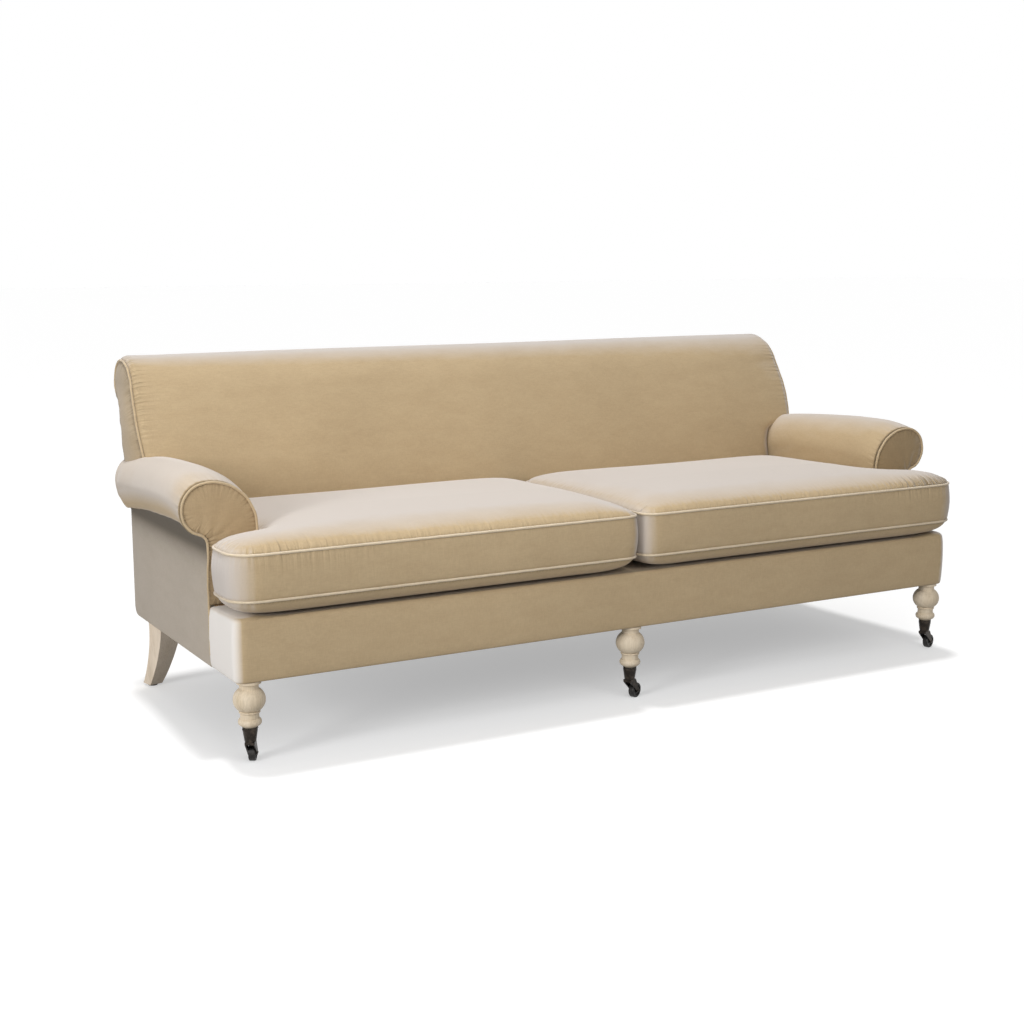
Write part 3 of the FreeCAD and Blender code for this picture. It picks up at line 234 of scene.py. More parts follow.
def inside(points, outline):
    """Which points lie within a closed outline."""
    x, y = points[:, 0], points[:, 1]
    found = np.zeros(len(points), dtype=bool)
    for (ax, ay), (bx, by) in zip(outline, np.roll(outline, -1, axis=0)):
        if ay != by:
            found ^= ((ay > y) != (by > y)) & (x < (bx - ax) * (y - ay) / (by - ay) + ax)
    return found


# Meshes

def outward(mesh):
    """Turns a closed mesh's faces outwards."""
    work = bmesh.new()
    work.from_mesh(mesh)
    bmesh.ops.recalc_face_normals(work, faces=work.faces)
    work.to_mesh(mesh)
    work.free()
    mesh.update()


def build(name, points, faces, material, sharp, replaced, body="frame"):
    """A closed mesh piece with smooth shading, apart from edges sharper than the given angle in degrees."""
    mesh = bpy.data.meshes.new(name)
    mesh.from_pydata([tuple(point) for point in points], [], [tuple(int(i) for i in face) for face in faces])
    mesh.validate()
    mesh.materials.append(material)
    item = bpy.data.objects.new(name, mesh)
    bpy.context.scene.collection.objects.link(item)
    mesh.polygons.foreach_set("use_smooth", [True] * len(mesh.polygons))
    if sharp:
        mesh.set_sharp_from_angle(angle=math.radians(sharp))
    mesh.update()
    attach(item, body)
    if replaced:
        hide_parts(*replaced)
    outward(mesh)
    return item


def mark(item, **layers):
    """Values at each point of a cover for its material: painted shade (how deep the shade of seams, overhangs
    and contacts painted there is, mostly 0 to 1), gather (how strong the small gathers are there, which also
    paints shade in their valleys), along (its place along the line of stitching) and plain (no painted
    sheen)."""
    for name, values in layers.items():
        layer = item.data.attributes.new(name, "FLOAT", "POINT")
        layer.data.foreach_set("value", np.asarray(values, dtype=np.float32))


def coordinates(mesh):
    """A mesh's points in world coordinates."""
    points = np.empty(len(mesh.vertices) * 3)
    mesh.vertices.foreach_get("co", points)
    return points.reshape(-1, 3)


def quads(rows, columns, wrap_rows=False, wrap_columns=True):
    """The faces of a grid of points kept row by row."""
    row = np.arange(rows if wrap_rows else rows - 1)
    column = np.arange(columns if wrap_columns else columns - 1)
    r, c = (index.ravel() for index in np.meshgrid(row, column, indexing="ij"))
    below, right = (r + 1) % rows, (c + 1) % columns
    r, below = r * columns, below * columns
    return np.column_stack([r + c, r + right, below + right, below + c])


def fill(outline, step):
    """A closed outline filled with an even net of triangles. The outline's own points come first."""
    low, high = outline.min(axis=0), outline.max(axis=0)
    rise = step * math.sqrt(3) / 2
    rows = int((high[1] - low[1]) / rise) + 2
    columns = int((high[0] - low[0]) / step) + 2
    net = np.array([(low[0] + (c + (r % 2) / 2) * step, low[1] + r * rise)
                    for r in range(rows) for c in range(columns)])
    net = net[inside(net, outline)]
    net = net[nearest(net, outline)[0] > 0.6 * step]
    points = np.vstack([outline, net])
    count = len(outline)
    edges = [(i, (i + 1) % count) for i in range(count)]
    made, _, faces, _, _, _ = geometry.delaunay_2d_cdt([Vector(p) for p in points], edges, [], 1, 1e-9)
    return np.array([tuple(p) for p in made]), np.array([face for face in faces if len(face) == 3])


def cap(triangles, count, first, base):
    """A filled end's faces, where its rim of count points starts at first and its inner ones at base."""
    return np.where(triangles < count, triangles + first, triangles - count + base)


def puffed(points, faces, rim, reach, step):
    """How far a stuffed panel rises at each point, from 0 at its rim to nearly 1 further in than the reach.
    The height solves the equation of a membrane on springs, by conjugate gradients."""
    pairs = np.vstack([faces[:, [0, 1]], faces[:, [1, 2]], faces[:, [2, 0]]])
    pairs = np.unique(np.sort(pairs, axis=1), axis=0)
    first, second = pairs[:, 0], pairs[:, 1]
    count = len(points)
    weight = 2 / (3 * step ** 2) * reach ** 2
    free = np.ones(count)
    free[:rim] = 0

    def apply(height):
        flow = weight * (height[first] - height[second])
        spread = np.bincount(first, flow, count) - np.bincount(second, flow, count)
        return (height + spread) * free

    height = np.zeros(count)
    left = free.copy()
    search = left.copy()
    size = left @ left
    for _ in range(600):
        moved = apply(search)
        gain = size / (search @ moved)
        height += gain * search
        left -= gain * moved
        fresh = left @ left
        if fresh < 1e-10 * count:
            break
        search = left + search * fresh / size
        size = fresh
    return height


def welt(name, path, normal, material, seed, waviness, replaced, body="frame", closed=False):
    """A round welt along a path, whose rings hold the given direction."""
    sides = 10
    ahead, behind = np.roll(path, -1, axis=0), np.roll(path, 1, axis=0)
    if not closed:
        ahead[-1], behind[0] = path[-1], path[0]
    along = ahead - behind
    along /= np.linalg.norm(along, axis=1, keepdims=True)
    side = np.cross(along, np.broadcast_to(np.asarray(normal, dtype=float), path.shape))
    side /= np.linalg.norm(side, axis=1, keepdims=True)
    up = np.cross(side, along)
    _, run = lengths(path, closed)
    place = run[:len(path)]
    wave = waviness * ripple(place, run[-1], 0.045, seed)
    thick = THIN_WELT * (1 + 0.05 * ripple(place, run[-1], 0.016, seed + 1))
    middle = path + side * wave[:, None] + up * np.roll(wave, 7)[:, None]
    turn = np.linspace(0, 2 * math.pi, sides, endpoint=False)[None, :, None]
    spokes = np.cos(turn) * side[:, None] + np.sin(turn) * up[:, None]
    points = (middle[:, None] + thick[:, None, None] * spokes).reshape(-1, 3)
    faces = [*quads(len(path), sides, wrap_rows=closed)]
    if not closed:
        faces += [range(sides)[::-1], range(len(points) - sides, len(points))]
    build(name, points, faces, material, 60, replaced, body)


def shell(name, outline, place, rings, material, step, replaced, top=None):
    """A closed panel. rings are (how far in, how high) from its low face to its high one, place turns plan
    points with heights into world points, and top gives the further height of each point of the high face."""
    levels = [(offset(outline, -inward), height) for inward, height in rings]
    count = len(outline)
    points = [place(*plan.T, np.full(count, float(height))) for plan, height in levels]
    faces = [*quads(len(levels), count)]
    base = len(levels) * count
    for (plan, height), lift, first in ((levels[0], None, 0), (levels[-1], top, base - count)):
        made, triangles = fill(plan, step)
        extra = lift(made, triangles, count) if lift else np.zeros(len(made))
        points.append(place(*made[count:].T, height + extra[count:]))
        ends = cap(triangles, count, first, base)
        faces += [*(ends if first else ends[:, ::-1])]
        base += len(made) - count
    return build(name, np.vstack(points), faces, material, 50, replaced)


def rounded(radius, low, high, steps=4):
    """Rings for a panel whose upper edge is rounded."""
    turn = np.linspace(0, math.pi / 2, steps + 1)
    return [(0, low)] + [(radius * (1 - math.cos(t)), high - radius + radius * math.sin(t)) for t in turn]


# Materials

BLACK, WHITE = (0, 0, 0, 1), (1, 1, 1, 1)


def srgb(*channels):
    """A colour written with 0 to 255 channels, in linear light."""
    values = [c / 255 for c in channels]
    return [v / 12.92 if v <= 0.04045 else ((v + 0.055) / 1.055) ** 2.4 for v in values] + [1]


def shade(colour, factor):
    """A colour made darker or lighter."""
    return [min(1, c * factor) for c in colour[:3]] + [1]


class Nodes:
    """A short way to write the node tree of a material or a world."""

    def __init__(self, owner):
        owner.use_nodes = True
        self.tree = owner.node_tree
        self.tree.nodes.clear()

    def add(self, kind, **settings):
        node = self.tree.nodes.new(kind)
        for key, given in settings.items():
            setattr(node, key, given)
        return node

    def put(self, socket, given):
        """Gives an input a plain value, or another node's output."""
        if isinstance(given, (int, float, list, tuple)):
            socket.default_value = given
        else:
            self.tree.links.new(given, socket)

    def math(self, operation, first, second):
        node = self.add("ShaderNodeMath", operation=operation)
        self.put(node.inputs[0], first)
        self.put(node.inputs[1], second)
        return node.outputs["Value"]

    def plus(self, first, second):
        return self.math("ADD", first, second)

    def times(self, first, second):
        return self.math("MULTIPLY", first, second)

    def spread(self, value, start, end, low=0.0, high=1.0):
        """A value's way from start to end, turned into one from low to high."""
        node = self.add("ShaderNodeMapRange")
        given = {"Value": value, "From Min": start, "From Max": end, "To Min": low, "To Max": high}
        for key, level in given.items():
            self.put(node.inputs[key], level)
        return node.outputs["Result"]

    def seen(self, hidden, visible):
        """One value for light on its way elsewhere, and another for what is seen directly or mirrored."""
        path = self.add("ShaderNodeLightPath")
        return self.spread(self.math("MAXIMUM", path.outputs["Is Camera Ray"], path.outputs["Is Glossy Ray"]),
                           0.0, 1.0, hidden, visible)


class Surface(Nodes):
    """A new material with one shader, and the patterns that it is mixed from."""

    def __init__(self, name):
        self.material = bpy.data.materials.new(name)
        super().__init__(self.material)
        self.shader = self.add("ShaderNodeBsdfPrincipled")
        self.put(self.add("ShaderNodeOutputMaterial").inputs["Surface"], self.shader.outputs["BSDF"])
        self.where = self.add("ShaderNodeTexCoord").outputs["Object"]

    def stretched(self, scale, turn=(0, 0, 0)):
        node = self.add("ShaderNodeMapping")
        self.put(node.inputs["Scale"], scale)
        self.put(node.inputs["Rotation"], turn)
        self.put(node.inputs["Vector"], self.where)
        return node.outputs["Vector"]

    def noise(self, scale, detail, rough, where=None):
        node = self.add("ShaderNodeTexNoise")
        given = {"Scale": scale, "Detail": detail, "Roughness": rough, "Vector": where or self.where}
        for key, value in given.items():
            self.put(node.inputs[key], value)
        return node.outputs["Fac"]

    def ramp(self, value, low, high, place):
        node = self.add("ShaderNodeValToRGB")
        for element, colour, at in zip(node.color_ramp.elements, (low, high), place):
            element.color = colour
            element.position = at
        self.put(node.inputs["Fac"], value)
        return node.outputs["Color"]

    def mix(self, share, first, second, blend="MIX"):
        node = self.add("ShaderNodeMix", data_type="RGBA", blend_type=blend)
        for key, given in (("Factor", share), ("A", first), ("B", second)):
            self.put(node.inputs[key], given)
        return node.outputs["Result"]

    def bump(self, height, strength, distance, normal=None):
        node = self.add("ShaderNodeBump")
        self.put(node.inputs["Strength"], strength)
        self.put(node.inputs["Distance"], distance)
        self.put(node.inputs["Height"], height)
        if normal is not None:
            self.put(node.inputs["Normal"], normal)
        return node.outputs["Normal"]

    def finish(self, **values):
        """Gives the shader its inputs, and hands over the material."""
        for key, given in values.items():
            self.put(self.shader.inputs[key.replace("_", " ")], given)
        return self.material


BEIGE = srgb(190, 168, 134)
# The pale colour that the painted sheen turns the velvet towards.
SHEEN_PAINT = srgb(202, 195, 190)


def velvet(name, base, pale=SHEEN_PAINT, gleam=0.85, sheen=0.35, mottle=0.035, left_sheen=0.0, left_sheen_from=0.14):
    """Short-piled velvet: broad brush marks, cloudy pile, a fine woven ground, a soft pale sheen painted into
    its colour and painted shade in its seams and folds. It can also paint faces that look left paler: a
    painted highlight of light from the left."""
    n = Surface(name)
    broad = n.noise(3.2, 2, 0.5)
    brushed = n.noise(14, 3, 0.6, n.stretched((1, 1, 2.6), (0.3, 0.2, 0.1)))
    fine = n.noise(230, 3, 0.65)
    weft = n.noise(420, 1, 0.5, n.stretched((1, 1, 0.16)))
    warp = n.noise(420, 1, 0.5, n.stretched((0.16, 0.16, 1)))
    ground = n.times(n.plus(weft, warp), 0.5)

    # The colour of the pile, then painted shade in the seams, in the gathers' valleys and wherever else a
    # cover is marked for it.
    cloudy = n.ramp(broad, shade(base, 1 - mottle), shade(base, 1 + mottle), (0.3, 0.7))
    marks = n.ramp(brushed, srgb(250, 249, 248), WHITE, (0.32, 0.62))
    grain = n.ramp(n.plus(n.times(fine, 0.3), n.times(ground, 0.7)), shade(WHITE, 0.91), WHITE, (0.38, 0.62))
    colour = n.mix(1.0, n.mix(1.0, cloudy, marks, "MULTIPLY"), grain, "MULTIPLY")
    seam, gather, along, plain = [n.add("ShaderNodeAttribute", attribute_name=layer).outputs["Fac"]
                                  for layer in ("seam", "gather", "along", "plain")]
    line = n.add("ShaderNodeCombineXYZ")
    n.put(line.inputs["X"], along)
    folds = n.ramp(n.noise(80, 2, 0.5, line.outputs["Vector"]), BLACK, WHITE, (0.38, 0.58))
    valley = n.times(gather, n.math("SUBTRACT", 1.0, folds))
    dark = n.math("MINIMUM", n.plus(n.times(seam, 0.62), n.times(valley, 0.24)), 0.9)
    colour = n.mix(dark, colour, shade(base, 0.2))

    # The sheen, painted into the colour: strong where the surface turns away, none on faces that look down,
    # as no light falls there, none in seams and where plain. Faces that look left can get a painted highlight
    # as well.
    turned = n.add("ShaderNodeLayerWeight").outputs["Facing"]
    lifted = n.plus(turned, n.times(n.math("SUBTRACT", brushed, 0.5), 0.12))
    gleaming = n.ramp(lifted, BLACK, (gleam, gleam, gleam, 1), (0.36, 0.76))
    facing = n.add("ShaderNodeSeparateXYZ")
    n.put(facing.inputs["Vector"], n.add("ShaderNodeNewGeometry").outputs["Normal"])
    gleaming = n.times(gleaming, n.spread(facing.outputs["Z"], -0.45, -0.05))
    if left_sheen:
        left_sheen_share = n.ramp(n.times(facing.outputs["X"], -1.0), BLACK, (left_sheen, left_sheen, left_sheen, 1), (left_sheen_from, 0.96))
        gleaming = n.math("MAXIMUM", gleaming, left_sheen_share)
    held = n.plus(plain, n.plus(n.times(seam, 0.8), n.times(valley, 0.5)))
    free = n.math("SUBTRACT", 1.0, n.math("MINIMUM", held, 1.0))

    gathered = n.bump(n.times(gather, folds), 0.9, 0.005, n.bump(brushed, 0.05, 0.004))
    pile = n.bump(n.plus(n.times(fine, 0.3), ground), 0.08, 0.0012, gathered)
    return n.finish(Base_Color=n.mix(n.times(gleaming, free), colour, pale), Normal=pile, Roughness=0.92,
                    Specular_IOR_Level=0.12, Sheen_Weight=sheen, Sheen_Roughness=0.35,
                    Sheen_Tint=(1, 0.97, 0.95, 1))


def wood(name, pale, dark, rough=0.55, grain=1.0, limed=True):
    n = Surface(name)
    rings = n.noise(38, 4, 0.62, n.stretched((1, 1, 0.09)))
    pores = n.noise(420, 2, 0.5, n.stretched((1, 1, 0.05)))
    colour = n.ramp(rings, dark, pale, (0.36, 0.60))
    colour = n.mix(0.55 * grain, colour, n.ramp(pores, shade(dark, 0.86), shade(pale, 1.06), (0.36, 0.58)))
    if limed:
        patches = n.ramp(n.noise(16, 3, 0.6), BLACK, WHITE, (0.42, 0.72))
        colour = n.mix(n.times(patches, 0.45), colour, shade(pale, 1.12))
    return n.finish(Base_Color=colour, Normal=n.bump(pores, 0.25, 0.0008, n.bump(rings, 0.10, 0.002)),
                    Roughness=rough, Specular_IOR_Level=0.35)


def metal(name, base, worn, rough=0.34, metallic=1.0):
    n = Surface(name)
    clouds = n.noise(90, 4, 0.6)
    scratches = n.noise(900, 2, 0.5, n.stretched((1, 1, 0.2)))
    rubbed = n.times(n.ramp(clouds, BLACK, WHITE, (0.45, 0.75)), 0.6)
    return n.finish(Base_Color=n.mix(rubbed, base, worn), Metallic=metallic,
                    Roughness=n.plus(n.times(clouds, 0.22), rough - 0.1),
                    Normal=n.bump(scratches, 0.08, 0.0003))


def cloth(name, base):
    n = Surface(name)
    weft = n.noise(700, 1, 0.5, n.stretched((1, 0.15, 1)))
    warp = n.noise(700, 1, 0.5, n.stretched((0.15, 1, 1)))
    return n.finish(Base_Color=n.ramp(n.times(weft, warp), shade(base, 0.8), shade(base, 1.2), (0.15, 0.4)),
                    Normal=n.bump(n.plus(weft, warp), 0.3, 0.0006), Roughness=0.95, Specular_IOR_Level=0.1)


cover = velvet("cover_velvet", BEIGE)
# The arm facings are darker copies of the cover velvet, the right one darker still: painted shade.
facing_covers = {-1: velvet("left_facing_shaded_velvet", srgb(180, 157, 124)),
                 1: velvet("right_facing_shaded_velvet", srgb(162, 141, 110))}
# The arm, border and cushion copies differ in how strong their painted sheen is; the border and the cushions
# also get a painted highlight on faces that look left, and the border's is the palest.
arm_cover = velvet("arm_velvet", BEIGE, gleam=0.7)
border_cover = velvet("border_velvet", BEIGE, srgb(236, 232, 228), gleam=0.95, left_sheen=0.92, left_sheen_from=0.30)
cushion_cover = velvet("cushion_velvet", BEIGE, srgb(198, 191, 186), left_sheen=0.9)
side_cover = velvet("side_velvet", srgb(177, 165, 148), gleam=0.25, sheen=0.2)
end_cover = velvet("end_velvet", srgb(184, 165, 137), gleam=0.2, sheen=0.2)
welt_cover = velvet("welt_velvet", srgb(196, 175, 142), gleam=0.35, mottle=0.05)
# The cushions' welts use a lighter copy of the welt velvet: painted light.
lit_cushion_welt_cover = velvet("lit_cushion_welt_velvet", srgb(216, 200, 174), gleam=0.4, mottle=0.05)
rear_cover = velvet("rear_velvet", srgb(186, 165, 133), gleam=0.5)
# The rear legs' limed oak is a lighter copy of the front legs' oak: painted light.
rear_wood_painted_light = wood("rear_limed_oak_painted_light", srgb(232, 216, 196), srgb(212, 194, 170), grain=0.6)
limed_wood = wood("limed_oak", srgb(216, 201, 178), srgb(196, 178, 150), grain=0.6)
raw_wood = wood("raw_hardwood", srgb(196, 160, 116), srgb(150, 112, 72), 0.7, limed=False)
bronze = metal("dark_bronze", srgb(46, 42, 39), srgb(92, 82, 72))
wheel_black = metal("caster_tread", srgb(28, 26, 25), srgb(60, 56, 52), 0.42, 0.35)
steel = metal("spring_steel", srgb(150, 150, 152), srgb(110, 108, 104), 0.3)
glide_black = metal("glide_plastic", srgb(40, 38, 37), srgb(70, 66, 62), 0.5, 0.0)
black_cloth = cloth("dust_cloth", srgb(38, 37, 38))
deck_cloth = cloth("deck_cloth", srgb(150, 133, 108))

# A node takes the first material whose word its name holds, so rear_leg comes before leg.
NODE_MATERIALS = {
    "wheel": wheel_black, "glide": glide_black, "fork": bronze, "axle": bronze, "cup": bronze,
    "screw": bronze, "bolt": steel, "spring": steel, "dust_cover": black_cloth, "rear_leg": rear_wood_painted_light,
    "leg": limed_wood,
}
for node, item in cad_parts.items():
    if item.type == "MESH":
        fitting = [material for word, material in NODE_MATERIALS.items() if word in node]
        item.data.materials.clear()
        item.data.materials.append(fitting[0] if fitting else raw_wood)


# Arms

# Rows along an arm: the place, then how far its crest swells, its roll changes shape and its rear drops.
ARM_SHARES = ((0, 0, 0, 0), (0.09, 0.75, 0.05, 0), (0.24, 1, 0.25, 0), (0.44, 0.75, 0.55, 0),
              (0.72, 0.25, 0.9, 0.15), (1, 0, 1, 1))
ARM_REACH = DEPTH + 0.064 - BEHIND_FACING
ROLL_RADIUS, ROLL_GROWTH = 0.066, 0.014
OVERHANG, OVERHANG_LOSS = 0.063, 0.029
CREST, CREST_SWELL, CREST_DROP = 0.289, 0.015, 0.022
SHOULDER_DROP = 0.104
ROLL_EDGE = 0.003
REAR_FULLNESS = 0.009
REAR_CURL, REAR_LIFT, REAR_SQUEEZE = 0.040, 0.016, 0.12
ARM_FOOT = -0.025
ARM_UNDERSIDE = 0.127
NECK = 0.139
NECK_RUN = 0.040


def arm_corners(swell=0.0, change=0.0, drop=0.0, inset=0.0):
    """The corners of a right arm's section, in x and w."""
    radius = ROLL_RADIUS + ROLL_GROWTH * change - inset
    overhang = OVERHANG - OVERHANG_LOSS * change
    crest = CREST + CREST_SWELL * swell - CREST_DROP * drop - inset
    wall = SEAT_HALF + inset
    middle = (HALF + overhang - inset - radius, crest - radius)
    shoulder = (wall, crest + inset - SHOULDER_DROP)
    crown = (middle[0], crest)
    lean = math.sqrt(0.5)
    shoulder_middle = (wall + (crown[0] - wall) * (1 - lean), shoulder[1] + (crown[1] - shoulder[1]) * lean)
    tuck_x = HALF + overhang * 0.5 - inset
    tuck = (tuck_x, middle[1] - math.sqrt(radius ** 2 - (tuck_x - middle[0]) ** 2))
    outermost = (middle[0] + radius, middle[1])
    neck = (HALF, NECK)
    neck_middle = (neck[0] + (tuck[0] - neck[0]) * 0.25, neck[1] + (tuck[1] - neck[1]) * 0.75)
    return shoulder, shoulder_middle, crown, outermost, tuck, neck_middle, neck


def arm_over(*changes):
    """From the top of an arm's inner wall over the roll to its neck."""
    shoulder, shoulder_middle, crown, outermost, tuck, neck_middle, neck = arm_corners(*changes)
    return chain(arc(shoulder, shoulder_middle, crown), arc(crown, outermost, tuck, 36),
                 arc(tuck, neck_middle, neck, 10))


def arm_rear(section):
    """How far back an arm reaches: to the back frame's front beside the seat, and to its rear outside it."""
    outside = between(section[:, 0], WOOD_HALF - 0.012, WOOD_HALF)
    return raked(FRAME_FRONT, section[:, 1]) * (1 - outside) + raked(DEPTH, section[:, 1]) * outside


def arm_section(place):
    """A right arm's section at a place between its front (0) and its rear (1)."""
    swell, change, drop = smooth_table(ARM_SHARES, np.array([place]))[0]
    ease = ROLL_EDGE * (1 - math.sqrt(1 - (1 - min(place * ARM_REACH / (2 * ROLL_EDGE), 1)) ** 2))
    over = arm_over(swell, change, drop, ease)
    under = [(HALF - 0.004, ARM_UNDERSIDE), (SEAT_HALF + 0.03, ARM_UNDERSIDE), (SEAT_HALF + 0.03, ARM_FOOT)]
    ring = np.vstack([resample([(over[0, 0], ARM_FOOT), over[0]], count=12)[:-1],
                      resample(over, count=89), resample(under, count=16)])
    v = BEHIND_FACING + (arm_rear(ring) - BEHIND_FACING) * place
    # Towards the rear the roll grows fuller on top, and its end turns in and up.
    curl = 1 - np.sqrt(1 - (between(v, DEPTH - REAR_CURL, DEPTH) * (ring[:, 0] > HALF - 0.02)) ** 2)
    crown, outermost = arm_corners(swell, change, drop, ease)[2:4]
    away = ring - [crown[0], outermost[1]]
    turn = np.arctan2(away[:, 1], away[:, 0])
    fuller = REAR_FULLNESS * drop * np.sin(2 * turn) * ((turn > 0) & (turn < math.pi / 2))
    x, w = (ring + fuller[:, None] * np.column_stack([np.cos(turn), np.sin(turn)])).T
    on_roll = x > HALF
    w = w + REAR_LIFT * curl * between(w, 0.19, 0.13) * on_roll
    x = np.where(on_roll, HALF + (x - HALF) * (1 - REAR_SQUEEZE * curl), x)
    return np.column_stack([x, v, w])


def make_arm(side, name):
    places = np.concatenate([[0, 0.0012, 0.003, 0.006, 0.011], np.linspace(0.019, 1, 70)])
    depths = places * ARM_REACH
    grid = np.array([arm_section(place) for place in places])
    rows, count = grid.shape[:2]
    # Puckers behind the facing's welt.
    _, around = lengths(grid[8][:, [0, 2]])
    wave = ripple(around, around[-1], 0.017, 11 + (side > 0))
    for row, swing in zip(grid, 0.0009 * fade(depths, 0.028) * (1 - fade(depths, 0.004))):
        row[:, [0, 2]] = offset(row[:, [0, 2]], swing * wave)
    points = [grid.reshape(-1, 3)]
    faces = [*quads(rows, count)]
    base = rows * count
    for row in (0, rows - 1):
        made, triangles = fill(grid[row][:, [0, 2]], 0.02)
        new = made[count:]
        v = arm_rear(new) if row else np.full(len(new), BEHIND_FACING)
        points.append(np.column_stack([new[:, 0], v, new[:, 1]]))
        faces += [*cap(triangles, count, row * count, base)]
        base += len(new)
    points = np.vstack(points) * [side, 1, 1]
    item = build(f"{name}_arm_cover", points + ORIGIN, faces, arm_cover, 48,
                 [f"{name}_arm_upholstery"])
    depth = np.full(len(points), ARM_REACH)
    depth[:rows * count] = np.repeat(depths, count)
    along = np.zeros(len(points))
    along[:rows * count] = np.tile(around, rows)
    # Painted shade along the facing's welt and where the arm meets the back, and gathers with painted shade
    # in their valleys behind the welt.
    foot, waist = back_front(0.45)[:2]
    to_back = np.interp(points[:, 2], (foot[1], waist[1]), (foot[0], waist[0])) + 0.010 - points[:, 1]
    painted_shade_at_back = 0.9 * fade(np.maximum(to_back, 0), 0.009) * (np.abs(points[:, 0]) < SEAT_HALF + 0.10)
    mark(item, seam=np.maximum(bell(depth, 0.0035), painted_shade_at_back), along=along,
         gather=0.55 * fade(depth, 0.014) * (1 - fade(depth, 0.003)))


def make_arm_front(side, name):
    over = arm_over(0.0, 0.0, 0.0, FACING_INSET)
    foot = (over[0, 0], 0.0)
    line = anticlockwise(resample(chain([foot], over, [(HALF, 0.0)]), step=0.006, closed=True))
    neck = (HALF, NECK)

    def place(x, w, height):
        return seat(side * x, ARM_SETBACK + 0.006 - height, w)

    def lift(points, faces, rim):
        rise = puffed(points, faces, rim, 0.028, 0.006)
        away = points - neck
        angle = np.arctan2(away[:, 1], -away[:, 0])
        distance = distance_to(points, neck)
        near = fade(distance, 0.05) * np.minimum(distance / 0.01, 1)
        pinch = (np.abs(np.sin(angle * 6 + side)) - 0.6) * near
        puckers, gap = gathers(points, line, 0.013, 31 + (side > 0), 0.016)
        return 0.0085 * rise ** 0.8 + (0.0045 * pinch + 0.0007 * puckers) * np.minimum(gap / 0.004, 1)

    item = shell(f"{name}_arm_front_panel", line, place, rounded(0.003, 0, 0.006), facing_covers[side], 0.006,
                 [f"{name}_arm_facing"], lift)
    # Painted shade along the rim's welt, and gathers with painted shade in their valleys at the rim and
    # fanning from the neck.
    flat = (coordinates(item.data) - ORIGIN)[:, [0, 2]] * [side, 1]
    gap, run = nearest(flat, line)
    mark(item, seam=0.9 * bell(gap, 0.003), along=run,
         gather=0.6 * fade(gap, 0.010) + 0.9 * bell(distance_to(flat, neck), 0.035))
    # The welt runs round the facing, and on down the front edge of the outside arm.
    down = [(HALF - 0.001, 0.118), (HALF + 0.001, 0.05), (HALF, -0.05), (HALF, RAIL_LOW + 0.03)]
    x, w = relax(resample(chain([foot], over, down), step=0.005), 6, closed=False).T
    behind = 0.004 * between(w, 0.12, 0.07) * (x > HALF - 0.02)
    welt(f"{name}_arm_welt", seat(side * x, ARM_SETBACK - THIN_WELT * 0.3 + behind, w), (0, 1, 0), welt_cover,
         41 + (side > 0), 0.0004, [f"{name}_arm_piping"])


def neck_line(depth):
    """The neck of an arm at a depth, from its foot to where it meets the roll."""
    place = np.clip((depth - BEHIND_FACING) / ARM_REACH, 0, 1)
    tuck, middle, neck = arm_corners(*smooth_table(ARM_SHARES, np.array([place]))[0])[4:]
    return arc(neck, middle, tuck, 10)


def make_outside_arm(side, name):
    radius = 0.025
    corner = [(DEPTH - radius + radius * math.sin(t), RAIL_LOW + radius - radius * math.cos(t))
              for t in np.linspace(0, math.pi / 2, 7)]
    high = NECK + NECK_RUN
    outline = chain([(BEHIND_FACING, RAIL_LOW)], corner, [(DEPTH, high), (BEHIND_FACING, high)])
    line = resample(outline, step=0.010, closed=True)
    necks = np.array([neck_line(depth) for depth in np.linspace(BEHIND_FACING, DEPTH, 32)])

    def place(v, w, height):
        """Above the neck, the panel follows the arm's neck lines, between the nearest four points."""
        along = between(v, BEHIND_FACING, DEPTH) * 31
        row = np.clip(along.astype(int), 0, 30)
        aside = (along - row)[:, None]
        up = between(w, NECK, high) * 10
        step = np.clip(up.astype(int), 0, 9)
        rise = (up - step)[:, None]
        first = necks[row, step] * (1 - rise) + necks[row, step + 1] * rise
        second = necks[row + 1, step] * (1 - rise) + necks[row + 1, step + 1] * rise
        bent = first * (1 - aside) + second * aside
        x = np.where(w > NECK, bent[:, 0] - 0.0125, WOOD_HALF) + height
        return seat(side * x, v, np.where(w > NECK, bent[:, 1], w))

    def lift(points, faces, rim):
        slack = 0.0012 * np.sin(points[:, 0] * 9 + 1) * np.sin(points[:, 1] * 13 + 2)
        return (0.0030 + slack) * puffed(points, faces, rim, 0.05, 0.012)

    item = shell(f"{name}_outside_arm_panel", line, place, rounded(0.003, 0, 0.014), side_cover, 0.010,
                 [f"{name}_outside_arm"], lift)
    # A painted shadow under the roll, darkest right beneath it and fading downwards.
    below_roll = np.maximum(NECK - 0.006 + DECK - coordinates(item.data)[:, 2], 0)
    mark(item, seam=1.45 * np.exp(-(below_roll / 0.032) ** 1.3))


# Back

# Rows from the middle to an end: the place, then how much of its full crown the back has there.
BACK_SHARES = ((0, 1), (0.45, 1), (0.78, 0.86), (0.92, 0.5), (1, 0))
# Foot, waist and shoulder: the height, how far behind the leaning line, and the swelling in the middle and at
# the ends.
BACK_FOOT = 0.149
BACK_LINES = ((BACK_FOOT, 0.0, 0.036, 0.010), (0.340, 0.011, 0.048, 0.024), (0.447, 0.020, 0.038, 0.006))
BACK_TOP = (DEPTH + 0.0915, 0.529)
REAR_LINE = [(float(raked(DEPTH - COVER, SCROLL_BASE)), SCROLL_BASE), (DEPTH - COVER, KNEE)]
# How many points of a section lie on the front and round the scroll.
BACK_FRONT = 133
SCROLL_RADIUS = 0.063
END_ROUNDING = 0.016
END_WIDENING = 0.020
UNDER_ARM = 0.165


